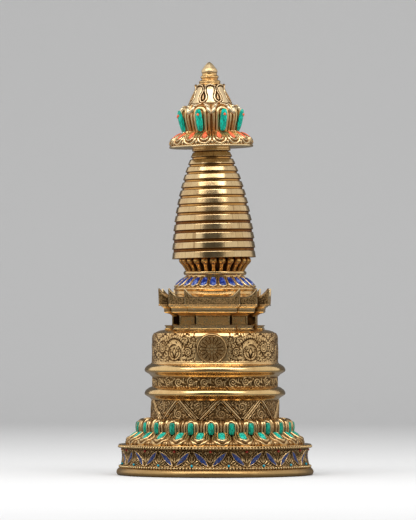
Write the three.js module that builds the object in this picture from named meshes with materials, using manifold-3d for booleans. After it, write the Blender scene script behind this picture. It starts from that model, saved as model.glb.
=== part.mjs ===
// A table-top stupa of gilded copper with turquoise and lapis inlay.
// Millimetres, +Z up. The origin is the centre of the foot, on the surface that it stands on.
// The front faces -Y. Pieces are stacked face to face. From the spire up they stand on the neck
// as one column, which leans a little to the left and is turned a little, as on the real object.

import * as THREE from "three";
import { mergeVertices } from "three/addons/utils/BufferGeometryUtils.js";
import Module from "manifold-3d";

const wasm = await Module();
wasm.setup();

// Foot, frieze and lotus seat
const FOOT_RADIUS = 107;
const FOOT_TOP = 8;
const BEAD_WIRE = 3.3;
const FRIEZE_TOP = 29.4;
const FRIEZE_RADIUS = 99.3;
const FRIEZE_PAIRS = 16;
const RIM_BOTTOM = 32.4;
const RIM_TOP = 33.6;
const RIM_RADIUS = 104.7;
const LOTUS_WAIST = 46.8;
const LOTUS_TOP = 60.5;
const LOTUS_PETALS = 24;

// Drum and dome
const DRUM_RADIUS = 69.6;
const BAND_RADIUS = 68.1;
const RING_RADIUS = 76.2;
const LOWER_RING = { bottom: 81.4, top: 95.5 };
const UPPER_RING = { bottom: 106.6, top: 120.6 };
const DOME_RADIUS = 68.4;
const DOME_MIDDLE = 136.7;
const DOME_TOP = 157.4;
const DOME_MEDALLIONS = 3;

// Harmika. Its plan has twenty corners: far is the reach of a middle projection, near is the
// half width of that projection, and mid is the reach of the corner block beside it.
const PLINTH = { far: 53.1, mid: 43.2, near: 25.3 };
const BODY = { far: 45.6, mid: 36.4, near: 18 };
const EAVE = { far: 59.6, mid: 47.6, near: 29.9 };
const PLINTH_TOP = 162.1;
const BODY_TOP = 172.6;
const EAVE_BOTTOM = 182.9;
const EAVE_LOW = 192.4;
const EAVE_TIP = 201.6;
const EAVE_CURVE = 11;

// Neck
const SEAT_RADIUS = 44.6;
const SEAT_TOP = 202.6;
const LAPIS_TOP = 214;
const NECK_TOP = 221.4;
const CUP_TOP = 232.6;

// Spire, parasol and finial, along the leaning axis
const LEAN = THREE.MathUtils.degToRad(1.4);
const LEAN_PIVOT = 190;
const CROWN_TURN = THREE.MathUtils.degToRad(4.3);
const SPIRE_RINGS = 13;
const SPIRE_BOTTOM = 234.7;
const SPIRE_PITCH = { bottom: 10.4, top: 7.9 };
const SPIRE_RADIUS = { bottom: 45.5, top: 22.4 };
const SPIRE_FACE = { bottom: 7.3, top: 5.5 };
const SPIRE_WALL = 1.35;
const COLLAR_BOTTOM = 350.6;
const PARASOL_BOTTOM = 354.7;
const PARASOL_RADIUS = 45.6;
const PARASOL_TOP = 371.6;
const PARASOL_PETALS = 16;
const CROWN_PETALS = 8;
const BUD_TOP = 400;
const CROWN_TOP = 424.4;
const TIP = 448;

const SEAT_GAP = 0.25;
const ROUND = 48;
const SPIRE_ROUND = 32;

const gilt = new THREE.MeshStandardMaterial({ color: 0xc9974a, roughness: 0.3, metalness: 1 });
const turquoise = new THREE.MeshStandardMaterial({ color: 0x13a08a, roughness: 0.35, metalness: 0 });
const lapis = new THREE.MeshStandardMaterial({ color: 0x1f35a0, roughness: 0.3, metalness: 0 });

const stupa = new THREE.Group();
const leaningColumn = new THREE.Group();
const columnBase = new THREE.Group();
leaningColumn.position.z = LEAN_PIVOT;
leaningColumn.rotation.y = -LEAN;
columnBase.position.z = -LEAN_PIVOT;
leaningColumn.add(columnBase);
stupa.add(leaningColumn);

function place(name, geometry, material = gilt, group = stupa) {
  const mesh = new THREE.Mesh(geometry, material);
  mesh.name = name;
  group.add(mesh);
}

// A body of revolution. The outline holds [radius, height] points up its outside, and flat
// faces close it to the axis at both ends.
function turned(outline, segments = ROUND) {
  const bottom = outline[0][1];
  const top = outline[outline.length - 1][1];
  const points = [[0, bottom], ...outline, [0, top]].map(([r, z]) => new THREE.Vector2(r, z));
  return new THREE.LatheGeometry(points, segments).rotateX(Math.PI / 2);
}

// A ring about the axis: the same, with a straight bore.
function turnedRing(bore, outline, segments = ROUND) {
  const bottom = outline[0][1];
  const top = outline[outline.length - 1][1];
  const section = [[bore, bottom], ...outline, [bore, top], [bore, bottom]];
  const points = section.map(([r, z]) => new THREE.Vector2(r, z));
  return new THREE.LatheGeometry(points, segments).rotateX(Math.PI / 2);
}

// How far a petal stands out at a share of its width: a plain swelling, or a ridged border with a
// stone's ridge in the middle.
function domedPetal(across) {
  return Math.sin(Math.PI * across) ** 0.7;
}

function ridgedPetal(across) {
  const ridges = [0, 0.9, 0.3, 0.9, 1.1, 0.9, 0.3, 0.9];
  return ridges[Math.round(across * ridges.length) % ridges.length];
}

// A turned body with petals in relief: each [radius, height, swell] row stands out by its swell
// at the ridges of every petal. The first petal is centred on the front.
function petalled(rows, petals, columns, standing = domedPetal) {
  const geometry = turned(rows, petals * columns);
  const swells = [0, ...rows.map((row) => row[2]), 0];
  const position = geometry.getAttribute("position");
  for (let i = 0; i < position.count; i += 1) {
    const slice = Math.floor(i / swells.length);
    const across = ((slice + columns / 2) % columns) / columns;
    const swell = swells[i % swells.length] * standing(across);
    const radius = Math.hypot(position.getX(i), position.getY(i));
    const stretch = radius > 0 ? (radius + swell) / radius : 1;
    position.setX(i, position.getX(i) * stretch);
    position.setY(i, position.getY(i) * stretch);
  }
  return geometry;
}

function solidOf(geometry) {
  const bare = geometry.clone();
  bare.deleteAttribute("normal");
  bare.deleteAttribute("uv");
  const welded = mergeVertices(bare, 1e-4);
  const corners = welded.index ? welded.index.array : [...Array(welded.attributes.position.count).keys()];
  const triangles = [];
  for (let i = 0; i < corners.length; i += 3) {
    const [a, b, c] = [corners[i], corners[i + 1], corners[i + 2]];
    if (a !== b && b !== c && c !== a) {
      triangles.push(a, b, c);
    }
  }
  return new wasm.Manifold(
    new wasm.Mesh({
      numProp: 3,
      vertProperties: new Float32Array(welded.getAttribute("position").array),
      triVerts: new Uint32Array(triangles),
    }),
  );
}

function geometryOf(solid) {
  const mesh = solid.getMesh();
  const geometry = new THREE.BufferGeometry();
  geometry.setAttribute("position", new THREE.BufferAttribute(new Float32Array(mesh.vertProperties), 3));
  geometry.setIndex(new THREE.BufferAttribute(new Uint32Array(mesh.triVerts), 1));
  return geometry;
}

function joined(geometries) {
  return geometryOf(geometries.map(solidOf).reduce((sum, part) => sum.add(part)));
}

// Foot, frieze and lotus seat

function foot() {
  const moulding = [
    [FOOT_RADIUS - 3, 0],
    [FOOT_RADIUS, 2.4],
    [FOOT_RADIUS, 4.8],
    [FOOT_RADIUS - 1.9, 7],
    [FOOT_RADIUS - 3.6, FOOT_TOP],
  ];
  place("foot_moulding", turned(moulding));
  const wire = [
    [103.4, FOOT_TOP],
    [104.7, FOOT_TOP + 1],
    [104.7, FOOT_TOP + 2.3],
    [103.4, FOOT_TOP + BEAD_WIRE],
  ];
  place("lower_bead_row", turnedRing(FRIEZE_RADIUS + 2.3, wire));
}

function friezeLeaf() {
  const reach = 10.4;
  const bulge = 5.6;
  const shape = new THREE.Shape();
  shape.moveTo(-reach, 0);
  shape.quadraticCurveTo(0, bulge, reach, 0);
  shape.quadraticCurveTo(0, -bulge, -reach, 0);
  return new THREE.ExtrudeGeometry(shape, { depth: 3.4, bevelEnabled: false, curveSegments: 2 });
}

// The wall hollows in a little, and carries a zigzag of leaves in relief.
function frieze() {
  const middle = 19.5;
  const parts = [
    turned([
      [FRIEZE_RADIUS + 2, FOOT_TOP],
      [FRIEZE_RADIUS + 1.6, FOOT_TOP + 5],
      [FRIEZE_RADIUS, middle],
      [FRIEZE_RADIUS + 2.2, FRIEZE_TOP],
    ]),
  ];
  const pitch = (2 * Math.PI) / FRIEZE_PAIRS;
  for (let i = 0; i < FRIEZE_PAIRS; i += 1) {
    [-1, 1].forEach((side) => {
      const leaf = friezeLeaf();
      leaf.rotateZ(side * THREE.MathUtils.degToRad(45.4));
      leaf.rotateX(Math.PI / 2);
      leaf.translate(0, 1.9 - FRIEZE_RADIUS, middle);
      leaf.rotateZ(i * pitch + side * pitch * 0.249);
      parts.push(leaf);
    });
  }
  place("frieze_wall", joined(parts));
}

function rim() {
  const wire = [
    [103.2, FRIEZE_TOP],
    [105.2, FRIEZE_TOP + 1],
    [105.2, FRIEZE_TOP + 2],
    [103.2, RIM_BOTTOM],
  ];
  place("upper_bead_row", turnedRing(101.9, wire));
  const moulding = [
    [101.6, FRIEZE_TOP],
    [101.6, RIM_BOTTOM],
    [RIM_RADIUS, RIM_BOTTOM],
    [RIM_RADIUS, RIM_TOP - 0.4],
    [RIM_RADIUS - 0.8, RIM_TOP],
  ];
  place("rim_moulding", turned(moulding));
}

function lotus() {
  const lower = [
    [90, RIM_TOP, 6],
    [89, 37, 5.2],
    [88.2, 41, 5.6],
    [85.4, 44.2, 5],
    [80, LOTUS_WAIST, 2.6],
  ];
  const upper = [
    [78.6, LOTUS_WAIST, 3.8],
    [79.5, 49.4, 5.9],
    [79.7, 53.4, 6],
    [78.2, 57, 4.9],
    [75, LOTUS_TOP, 2.6],
  ];
  const halfPetal = Math.PI / LOTUS_PETALS;
  place("lotus_lower_petals", petalled(lower, LOTUS_PETALS, 4).rotateZ(halfPetal));
  place("lotus_upper_petals", petalled(upper, LOTUS_PETALS, 4));
}

// Drum and dome

// A ring with a rounded ridge, fullest at its middle. Each pair is the share of the height
// and the share of the ridge's reach.
function drumRing(name, { bottom, top }) {
  const fillet = BAND_RADIUS + 1.2;
  const ridge = [
    [0, 0],
    [0.13, 0.16],
    [0.26, 0.54],
    [0.37, 0.91],
    [0.48, 1],
    [0.66, 0.88],
    [0.86, 0.46],
    [1, 0],
  ].map(([share, reach]) => [
    fillet + (RING_RADIUS - fillet) * reach,
    bottom + (top - bottom) * share,
  ]);
  place(name, turned(ridge));
}

function drum() {
  place("drum_lower_band", turned([[DRUM_RADIUS, LOTUS_TOP], [DRUM_RADIUS, LOWER_RING.bottom]]));
  drumRing("drum_lower_ring", LOWER_RING);
  place("drum_middle_band", turned([[BAND_RADIUS, LOWER_RING.top], [BAND_RADIUS, UPPER_RING.bottom]]));
  drumRing("drum_upper_ring", UPPER_RING);
}

const DOME_WALL = [
  [DOME_RADIUS + 1, UPPER_RING.top],
  [DOME_RADIUS + 1, UPPER_RING.top + 0.8],
  [DOME_RADIUS, UPPER_RING.top + 1.4],
  [DOME_RADIUS, 149.6],
  [DOME_RADIUS - 0.6, 151.2],
  [DOME_RADIUS - 2, 152.9],
  [DOME_RADIUS - 5, 154.9],
  [DOME_RADIUS - 9.6, 156.7],
  [DOME_RADIUS - 12.6, DOME_TOP],
];

function domeRadius(height) {
  const upper = Math.max(1, DOME_WALL.findIndex(([, z]) => z >= height));
  const [lowRadius, low] = DOME_WALL[upper - 1];
  const [highRadius, high] = DOME_WALL[upper];
  return lowRadius + ((highRadius - lowRadius) * (height - low)) / (high - low);
}

// A raised hoop of the scrollwork, bent to the wall. Along is the distance of its centre from
// the middle of a medallion, and up its height over the middle of the wall.
function hoop(along, up, inner, outer, segments) {
  const flat = turnedRing(inner, [[outer, -1.2], [outer - 0.4, 0.6]], segments);
  const position = flat.getAttribute("position");
  for (let i = 0; i < position.count; i += 1) {
    const height = DOME_MIDDLE + up + position.getY(i);
    const angle = (along + position.getX(i)) / DOME_RADIUS;
    const radius = domeRadius(height) + position.getZ(i);
    position.setXYZ(i, radius * Math.sin(angle), -radius * Math.cos(angle), height);
  }
  return flat;
}

// Three medallions, with three scrolls to each side of every one.
function dome() {
  const hoops = [
    [0, 0, 12.8, 14.6, 20],
    [0, 0, 4.8, 6.6, 10],
  ];
  [-1, 1].forEach((side) => {
    hoops.push([side * 25.4, -3.2, 5.6, 7.6, 12]);
    hoops.push([side * 44.6, -4.4, 7, 9, 12]);
    hoops.push([side * 62.6, 2.4, 6, 8, 12]);
  });
  const parts = [turned(DOME_WALL)];
  for (let i = 0; i < DOME_MEDALLIONS; i += 1) {
    hoops.forEach((sizes) => {
      parts.push(hoop(...sizes).rotateZ((i * 2 * Math.PI) / DOME_MEDALLIONS));
    });
  }
  place("dome", joined(parts));
}

// Harmika

function plan({ far, mid, near }) {
  const corners = [];
  for (let turn = 0; turn < 4; turn += 1) {
    const quarter = [
      [near, -far],
      [near, -mid],
      [mid, -mid],
      [mid, -near],
      [far, -near],
    ];
    quarter.forEach(([x, y]) => {
      const corner = new THREE.Vector2(x, y).rotateAround(new THREE.Vector2(), (turn * Math.PI) / 2);
      corners.push(corner);
    });
  }
  return corners;
}

function slab(size, bottom, top) {
  const shape = new THREE.Shape(plan(size));
  const block = new THREE.ExtrudeGeometry(shape, { depth: top - bottom, bevelEnabled: false });
  return block.translate(0, 0, bottom);
}

function grown({ far, mid, near }, by) {
  return { far: far + by, mid: mid + by, near: near + by };
}

function harmikaBody() {
  place(
    "harmika_plinth",
    joined([
      slab(PLINTH, DOME_TOP, DOME_TOP + 1.3),
      slab(grown(PLINTH, -1), DOME_TOP, PLINTH_TOP),
      slab(PLINTH, PLINTH_TOP - 1.3, PLINTH_TOP),
    ]),
  );
  place("harmika_body", slab(BODY, PLINTH_TOP, BODY_TOP));
}

// The cornice spreads in steps from the body to the eave. Each pair is a step's underside and how
// far it stands out from the body.
function cornice() {
  const steps = [
    [BODY_TOP, 1.8],
    [BODY_TOP + 2, 6],
    [BODY_TOP + 3.8, 8.2],
    [BODY_TOP + 8.2, 10.6],
    [EAVE_BOTTOM, 0],
  ];
  const slabs = steps.slice(0, -1).map(([bottom, spread], index) =>
    slab(grown(BODY, spread), bottom, steps[index + 1][0]),
  );
  place("harmika_cornice", joined(slabs));
}

// One face of the eave in elevation. It sweeps up to a point at each end that is an outer corner
// of the plan, and stays low at an inner one.
function eaveFace(width, pointedStart, pointedEnd) {
  const low = EAVE_LOW - EAVE_BOTTOM;
  const rise = EAVE_TIP - EAVE_LOW;
  const steps = 4;
  const half = width / 2;
  const sweep = [];
  for (let i = 0; i <= steps; i += 1) {
    const run = Math.min(EAVE_CURVE, width - 0.5) * (i / steps);
    sweep.push([half - Math.min(EAVE_CURVE, width - 0.5) + run, low + rise * (i / steps) ** 1.8]);
  }
  const shape = new THREE.Shape();
  shape.moveTo(-half, 0);
  shape.lineTo(half, 0);
  if (pointedEnd) {
    [...sweep].reverse().forEach(([x, z]) => shape.lineTo(x, z));
  } else {
    shape.lineTo(half, low);
  }
  if (pointedStart) {
    sweep.forEach(([x, z]) => shape.lineTo(-x, z));
  } else {
    shape.lineTo(-half, low);
  }
  const face = new THREE.ExtrudeGeometry(shape, { depth: 2, bevelEnabled: false });
  return face.rotateX(Math.PI / 2).translate(0, 2, EAVE_BOTTOM);
}

function eave() {
  const corners = plan(EAVE);
  const pointed = (index) => index % 5 !== 1 && index % 5 !== 3;
  const parts = [slab(EAVE, EAVE_BOTTOM, EAVE_LOW)];
  corners.forEach((corner, index) => {
    const next = corners[(index + 1) % corners.length];
    const along = next.clone().sub(corner);
    const middle = corner.clone().add(next).multiplyScalar(0.5);
    const face = eaveFace(along.length(), pointed(index), pointed(index + 1));
    parts.push(face.rotateZ(along.angle()).translate(middle.x, middle.y, 0));
  });
  place("harmika_eave", joined(parts));
}

// Neck

function neck() {
  const seat = [
    [SEAT_RADIUS - 1, EAVE_LOW],
    [SEAT_RADIUS - 1, SEAT_TOP - 3],
    [SEAT_RADIUS, SEAT_TOP - 2],
    [SEAT_RADIUS, SEAT_TOP],
  ];
  place("lotus_seat", turned(seat));
  const stones = [
    [42, SEAT_TOP, 0.8],
    [41, 205.4, 1.4],
    [36.6, 209.6, 1.4],
    [31.4, LAPIS_TOP, 0.4],
  ];
  place("lapis_lotus", petalled(stones, LOTUS_PETALS, 4), lapis);
  const ring = [
    [31, LAPIS_TOP],
    [33, 216],
    [34.2, 218.4],
    [33.2, 220.6],
    [31, NECK_TOP],
  ];
  place("neck_ring", turned(ring));
  const cup = [
    [28.4, NECK_TOP, 2.8],
    [30, 225, 4.6],
    [33.4, 229.5, 5.4],
    [35.4, CUP_TOP, 5.4],
  ];
  place("flared_petal_cup", petalled(cup, LOTUS_PETALS, 2));
}

// Spire

function alongSpire({ bottom, top }, index, power = 1) {
  return bottom - (bottom - top) * (index / (SPIRE_RINGS - 1)) ** power;
}

// The rings stand a little closer together the higher they are.
function ringBottom(index) {
  const shrink = (SPIRE_PITCH.bottom - SPIRE_PITCH.top) / (SPIRE_RINGS - 2);
  return SPIRE_BOTTOM + index * SPIRE_PITCH.bottom - (shrink * index * (index - 1)) / 2;
}

// The radii of a ring: its lip, the top of its face, which draws in more the faster the spire
// narrows there, and its bore.
function ringRadii(index) {
  const lip = alongSpire(SPIRE_RADIUS, index, 1.72);
  const face = lip - 1.3 - 0.35 * (lip - alongSpire(SPIRE_RADIUS, index + 1, 1.72));
  return { lip, face, bore: face - SPIRE_WALL };
}

// The core is cut level where it stands on the cup, because it leans.
function spireCore() {
  const outline = [[ringRadii(0).bore - SEAT_GAP, CUP_TOP - 4]];
  for (let i = 0; i < SPIRE_RINGS; i += 2) {
    outline.push([ringRadii(i).bore - SEAT_GAP, ringBottom(i)]);
  }
  outline.push([17, COLLAR_BOTTOM]);
  const core = turned(outline, SPIRE_ROUND);
  core.translate(0, 0, -LEAN_PIVOT).rotateY(-LEAN).translate(0, 0, LEAN_PIVOT);
  const below = new THREE.BoxGeometry(120, 120, 20).translate(0, 0, CUP_TOP - 10);
  place("spire_core", geometryOf(solidOf(core).subtract(solidOf(below))));
}

function spireRings() {
  for (let i = 0; i < SPIRE_RINGS; i += 1) {
    const { lip, face, bore } = ringRadii(i);
    const bottom = ringBottom(i);
    const section = [
      [lip, bottom],
      [face, bottom + alongSpire(SPIRE_FACE, i)],
    ];
    const name = `spire_ring_${String(i + 1).padStart(2, "0")}`;
    place(name, turnedRing(bore, section, SPIRE_ROUND), gilt, columnBase);
  }
}

// Parasol, bud, crown and finial

function parasol() {
  const collar = [
    [18.4, COLLAR_BOTTOM],
    [20.8, COLLAR_BOTTOM + 1],
    [20.8, PARASOL_BOTTOM],
  ];
  place("parasol_collar", turned(collar, SPIRE_ROUND), gilt, columnBase);
  const rows = [
    [PARASOL_RADIUS - 0.8, PARASOL_BOTTOM, 0],
    [PARASOL_RADIUS, PARASOL_BOTTOM + 0.6, 0],
    [PARASOL_RADIUS, 357, 0],
    [44.2, 357.6, 0.9],
    [44, 360.8, 1.3],
    [43, 363.2, 1.4],
    [39.4, 366.2, 1.4],
    [34.2, 368.6, 1.2],
    [29, PARASOL_TOP, 0.6],
  ];
  const halfPetal = Math.PI / PARASOL_PETALS;
  const petals = petalled(rows, PARASOL_PETALS, 8, ridgedPetal).rotateZ(CROWN_TURN + halfPetal);
  place("parasol", petals, gilt, columnBase);
}

function turquoisePetal(index, growth) {
  const stone = new THREE.SphereGeometry(1, 10, 6);
  stone.scale(4 + growth, 1.8 + growth, 11.8 + growth);
  stone.rotateX(THREE.MathUtils.degToRad(14));
  stone.translate(0, -34.4, 383.4);
  return stone.rotateZ(CROWN_TURN + ((index + 0.5) * 2 * Math.PI) / CROWN_PETALS);
}

function bud() {
  const rows = [
    [27, PARASOL_TOP, 2.4],
    [28.6, 378, 3.4],
    [31, 384, 3.8],
    [32.2, 390, 4],
    [30.6, 396, 2.8],
    [27.4, BUD_TOP, 1],
  ];
  const halfPetal = Math.PI / CROWN_PETALS;
  const petals = petalled(rows, CROWN_PETALS, 6).rotateZ(CROWN_TURN + halfPetal);
  let body = solidOf(petals);
  for (let i = 0; i < CROWN_PETALS; i += 1) {
    body = body.subtract(solidOf(turquoisePetal(i, SEAT_GAP)));
    place(`turquoise_petal_${i + 1}`, turquoisePetal(i, 0), turquoise, columnBase);
  }
  place("bud_petals", geometryOf(body), gilt, columnBase);
}

function crown() {
  const rows = [
    [22.8, BUD_TOP, 1],
    [22, 403.6, 1.6],
    [18.5, 412, 1.3],
    [16.4, 416, 1.2],
    [14.6, 420, 1.8],
    [14.2, 422.8, 2.4],
    [12, CROWN_TOP, 0.4],
  ];
  place("crown_petals", petalled(rows, CROWN_PETALS, 6).rotateZ(CROWN_TURN), gilt, columnBase);
}

function finial() {
  const collar = [
    [11, CROWN_TOP],
    [11.5, 425.8],
    [11.5, 427.2],
    [8.2, 428.4],
    [8.2, 430.4],
    [10, 431.6],
    [10, 432.8],
    [7.8, 433.6],
    [7.8, 435.6],
  ];
  place("finial_collar", turned(collar, 24), gilt, columnBase);
  const jewel = [
    [7.4, 435.6],
    [8.7, 437.2],
    [8.2, 439.2],
    [5.4, 443],
    [2.4, 446.4],
    [0.5, TIP],
  ];
  place("finial_jewel", turned(jewel, 24), gilt, columnBase);
}

foot();
frieze();
rim();
lotus();
drum();
dome();
harmikaBody();
cornice();
eave();
neck();
spireCore();
spireRings();
parasol();
bud();
crown();
finial();

export default stupa;
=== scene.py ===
# A gilded copper stupa inlaid with turquoise, lapis and coral, put together from the foot up.
# Sizes are in millimetres; heights are above the surface that it stands on, the front faces -Y.

import math
import random

import bmesh
import bpy
import numpy as np
from mathutils import Matrix, Vector


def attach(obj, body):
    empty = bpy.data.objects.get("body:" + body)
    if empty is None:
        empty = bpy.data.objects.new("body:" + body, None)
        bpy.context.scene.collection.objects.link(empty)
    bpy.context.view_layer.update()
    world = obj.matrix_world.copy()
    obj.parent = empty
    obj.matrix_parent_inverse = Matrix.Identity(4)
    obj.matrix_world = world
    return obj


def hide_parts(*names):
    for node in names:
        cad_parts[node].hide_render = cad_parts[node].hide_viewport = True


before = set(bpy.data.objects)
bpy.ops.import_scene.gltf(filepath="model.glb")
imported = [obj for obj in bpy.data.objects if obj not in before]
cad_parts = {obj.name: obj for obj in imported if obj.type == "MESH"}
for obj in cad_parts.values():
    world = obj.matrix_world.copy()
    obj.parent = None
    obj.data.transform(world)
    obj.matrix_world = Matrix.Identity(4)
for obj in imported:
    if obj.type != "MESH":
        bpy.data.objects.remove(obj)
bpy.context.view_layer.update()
MM = 0.001


# Foot moulding
# A plain half-round band of copper sheet, burnished and gilded, that the whole base stands on.
# It is turned on the lathe and shows faint handling marks.

def softened(points, rounds):
    """The same points with their corners worn round."""
    line = np.array(points, float)
    for _ in range(rounds):
        line[1:-1] = (line[:-2] + 2 * line[1:-1] + line[2:]) / 4
    return [tuple(point) for point in line]


def rows(outline, spacing, rounds=0):
    """Points about every spacing mm along an outline of (radius, height) corners, softened."""
    points = [outline[0]]
    for start, end in zip(outline, outline[1:]):
        count = max(1, round(math.dist(start, end) / spacing))
        for i in range(1, count + 1):
            points.append(tuple(np.array(start) + (np.array(end) - start) * i / count))
    return softened(points, rounds)


CRISP_EDGE = math.radians(35)


def finished(name, bm):
    """The mesh of bm as a piece with smooth shading, apart from its crisp edges."""
    mesh = bpy.data.meshes.new(name)
    bmesh.ops.remove_doubles(bm, verts=bm.verts, dist=1e-6)
    bmesh.ops.recalc_face_normals(bm, faces=bm.faces)
    bm.to_mesh(mesh)
    bm.free()
    mesh.shade_smooth()
    mesh.set_sharp_from_angle(angle=CRISP_EDGE)
    piece = bpy.data.objects.new(name, mesh)
    bpy.context.scene.collection.objects.link(piece)
    return piece


def sheet(bm, columns, courses, **options):
    """Makes a sheet of faces, and gives its points with the numbers of their column and course."""
    bmesh.ops.create_grid(bm, x_segments=columns, y_segments=courses, size=0.5, **options)
    return [
        (vert, round((vert.co.x + 0.5) * columns), round((vert.co.y + 0.5) * courses))
        for vert in bm.verts
    ]


def turned(name, outline, steps=192):
    """A body turned about the axis, closed to the axis at both ends of its outline: a sheet of
    faces is rolled up, and its long edges are joined."""
    profile = [(0, outline[0][1]), *outline, (0, outline[-1][1])]
    bm = bmesh.new()
    bm.loops.layers.uv.new("turn")
    for vert, _, course in sheet(bm, steps, len(profile) - 1, calc_uvs=True):
        angle = (vert.co.x + 0.5) * 2 * math.pi
        radius, height = profile[course]
        vert.co = (radius * math.sin(angle) * MM, -radius * math.cos(angle) * MM, height * MM)
    return finished(name, bm)


def fitted(piece, material, slot, *nodes):
    """Gives a piece its finish, and sets it on the body in place of the plain nodes."""
    piece.data.materials.append(material)
    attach(piece, "root")
    if nodes:
        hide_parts(*nodes)


def feed(tree, node, inputs):
    """Sets each input of a node to a value, or joins it to the socket that it comes from."""
    for key, value in inputs.items():
        if isinstance(value, bpy.types.NodeSocket):
            tree.links.new(value, node.inputs[key])
        else:
            node.inputs[key].default_value = value


def added(tree, kind, inputs, **settings):
    """Adds a node with these inputs and settings, and gives its outputs."""
    node = tree.nodes.new("ShaderNode" + kind)
    for key, value in settings.items():
        setattr(node, key, value)
    feed(tree, node, inputs)
    return node.outputs


def worked(tree, kind, *values):
    """The outcome of a sum on numbers and sockets."""
    return added(tree, "Math", dict(enumerate(values)), operation=kind)["Value"]


def blended(tree, share, color, over):
    """A colour with a share of another laid over it."""
    return added(tree, "Mix", {0: share, 6: color, 7: over}, data_type="RGBA")[2]


def ranged(tree, value, low, high, to_low=0.0, to_high=1.0, curve="SMOOTHSTEP"):
    """A value between low and high, carried over to another range."""
    levels = {"Value": value, "From Min": low, "From Max": high, "To Min": to_low, "To Max": to_high}
    return added(tree, "MapRange", levels, interpolation_type=curve)["Result"]


def clouded(tree, place, scale, **levels):
    """Soft blotches, from 0 to 1."""
    return added(tree, "TexNoise", {"Vector": place, "Scale": scale, **levels})["Fac"]


def gilding_group():
    """Fire gilding: bright on what stands proud, orange where it is hardly rubbed, and dark in the depths:
    partly patina, partly painted shade in the recesses. Relief is 1 on the raised work and 0 in the ground."""
    tree = bpy.data.node_groups.new("gilding", "ShaderNodeTree")
    for way, kind, names in (
        ("INPUT", "NodeSocketFloat", ("Relief", "PatinaAndShade", "Grain", "Punch", "Satin")),
        ("INPUT", "NodeSocketColor", ("Bright", "Recess", "Dark")),
        ("OUTPUT", "NodeSocketColor", ("Color",)),
        ("OUTPUT", "NodeSocketFloat", ("Roughness", "Height")),
    ):
        for name in names:
            tree.interface.new_socket(name, in_out=way, socket_type=kind)
    given = tree.nodes.new("NodeGroupInput").outputs
    place = added(tree, "TexCoord", {})["Object"]
    clouds = clouded(tree, place, 55, Detail=4, Roughness=0.6)
    grain = clouded(tree, place, 1500, Detail=3, Roughness=0.6)
    scuffs = clouded(tree, place, 420, Detail=5, Roughness=0.7)
    dots = added(tree, "TexVoronoi", {"Vector": place, "Scale": 760})["Distance"]
    ground = ranged(tree, given["Relief"], 0.9, 0.6)
    pits = worked(tree, "MULTIPLY", ranged(tree, dots, 0.2, 0.55), ground)
    punched = worked(tree, "MULTIPLY", pits, given["Punch"])
    wear = worked(tree, "MULTIPLY", worked(tree, "SUBTRACT", scuffs, 0.5), 0.55)
    rubbed = worked(tree, "SUBTRACT", worked(tree, "ADD", given["Relief"], wear), punched)
    raised = ranged(tree, rubbed, 0.3, 0.85)
    deep = worked(tree, "MULTIPLY", ranged(tree, rubbed, 0.28, 0.02), given["PatinaAndShade"])
    color = blended(tree, raised, given["Recess"], given["Bright"])
    color = blended(tree, deep, color, given["Dark"])
    color = blended(tree, ranged(tree, clouds, 0.45, 0.75, 0.0, 0.4), color, given["Recess"])
    color = blended(tree, ranged(tree, grain, 0.3, 0.75, 0.0, 0.16), color, given["Dark"])
    dull = ranged(tree, raised, 0.0, 1.0, 0.26, 0.0)
    rough = worked(tree, "ADD", dull, ranged(tree, clouds, 0.3, 0.7, -0.04, 0.06))
    feed(tree, tree.nodes.new("NodeGroupOutput"), {
        "Color": color, "Roughness": worked(tree, "ADD", rough, given["Satin"]),
        "Height": worked(tree, "ADD", worked(tree, "MULTIPLY", grain, given["Grain"]), clouds),
    })
    return tree


gilding = gilding_group()
# The colour of the depths: partly patina, partly painted shade.
DARK_PATINA_AND_SHADE = (0.022, 0.011, 0.004, 1)


def new_material(name):
    """A material, its tree and its shader."""
    material = bpy.data.materials.new(name)
    material.use_nodes = True
    return material, material.node_tree, material.node_tree.nodes["Principled BSDF"]


def gilt(name, bright, recess, patina=1.0, relief="relief", punch=0.0, satin=0.24):
    """A gilded finish: satin is how rough its raised work is, and patina how dark its depths go, with
    painted shade as well as patina.
    """
    material, tree, shader = new_material(name)
    levels = {
        "Relief": 1, "PatinaAndShade": patina, "Grain": 0.5, "Punch": punch, "Satin": satin,
        "Bright": (*bright, 1), "Recess": (*recess, 1), "Dark": DARK_PATINA_AND_SHADE,
    }
    if relief:
        levels["Relief"] = added(tree, "Attribute", {}, attribute_name=relief)["Fac"]
    finish = added(tree, "Group", levels, node_tree=gilding)
    dents = added(tree, "Bump", {"Strength": 0.12, "Distance": 0.0004, "Height": finish["Height"]})
    feed(tree, shader, {
        "Metallic": 1, "Base Color": finish["Color"], "Roughness": finish["Roughness"],
        "Normal": dents["Normal"],
    })
    return material


GOLD = (0.88, 0.6, 0.27)
ORANGE_GOLD = (0.5, 0.21, 0.05)
burnished = gilt("burnished_gilt", GOLD, ORANGE_GOLD, relief=None, satin=0.17)
foot_gilt = gilt("foot_gilt", (0.53, 0.335, 0.135), (0.36, 0.18, 0.05), relief=None, satin=0.36)

FOOT = [(103.6, 0), (106.2, 0.7), (107, 2.6), (106.9, 4.6), (105.6, 6.6), (104.2, 8), (101, 8)]
fitted(turned("foot_moulding_band", rows(FOOT, 0.6, 3)), foot_gilt, "gilt", "foot_moulding")


# Lower bead row
# A beaded wire of gilded copper, soldered round the foot of the frieze.

def ring_of(count, radius, height, pitch=0.0, roll=0.0, shift=0.0, turn=0.0):
    """Places for count things that stand upright round the object. Each is rolled on the wall and
    pitched outward at its top by degrees, and carried round by bays and by a turn in radians."""
    return [
        Matrix.Rotation(turn + 2 * math.pi * (i + shift) / count, 4, "Z")
        @ Matrix.Translation((0, -radius * MM, height * MM))
        @ Matrix.Rotation(math.radians(pitch), 4, "X")
        @ Matrix.Rotation(math.radians(roll), 4, "Y")
        for i in range(count)
    ]


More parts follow.
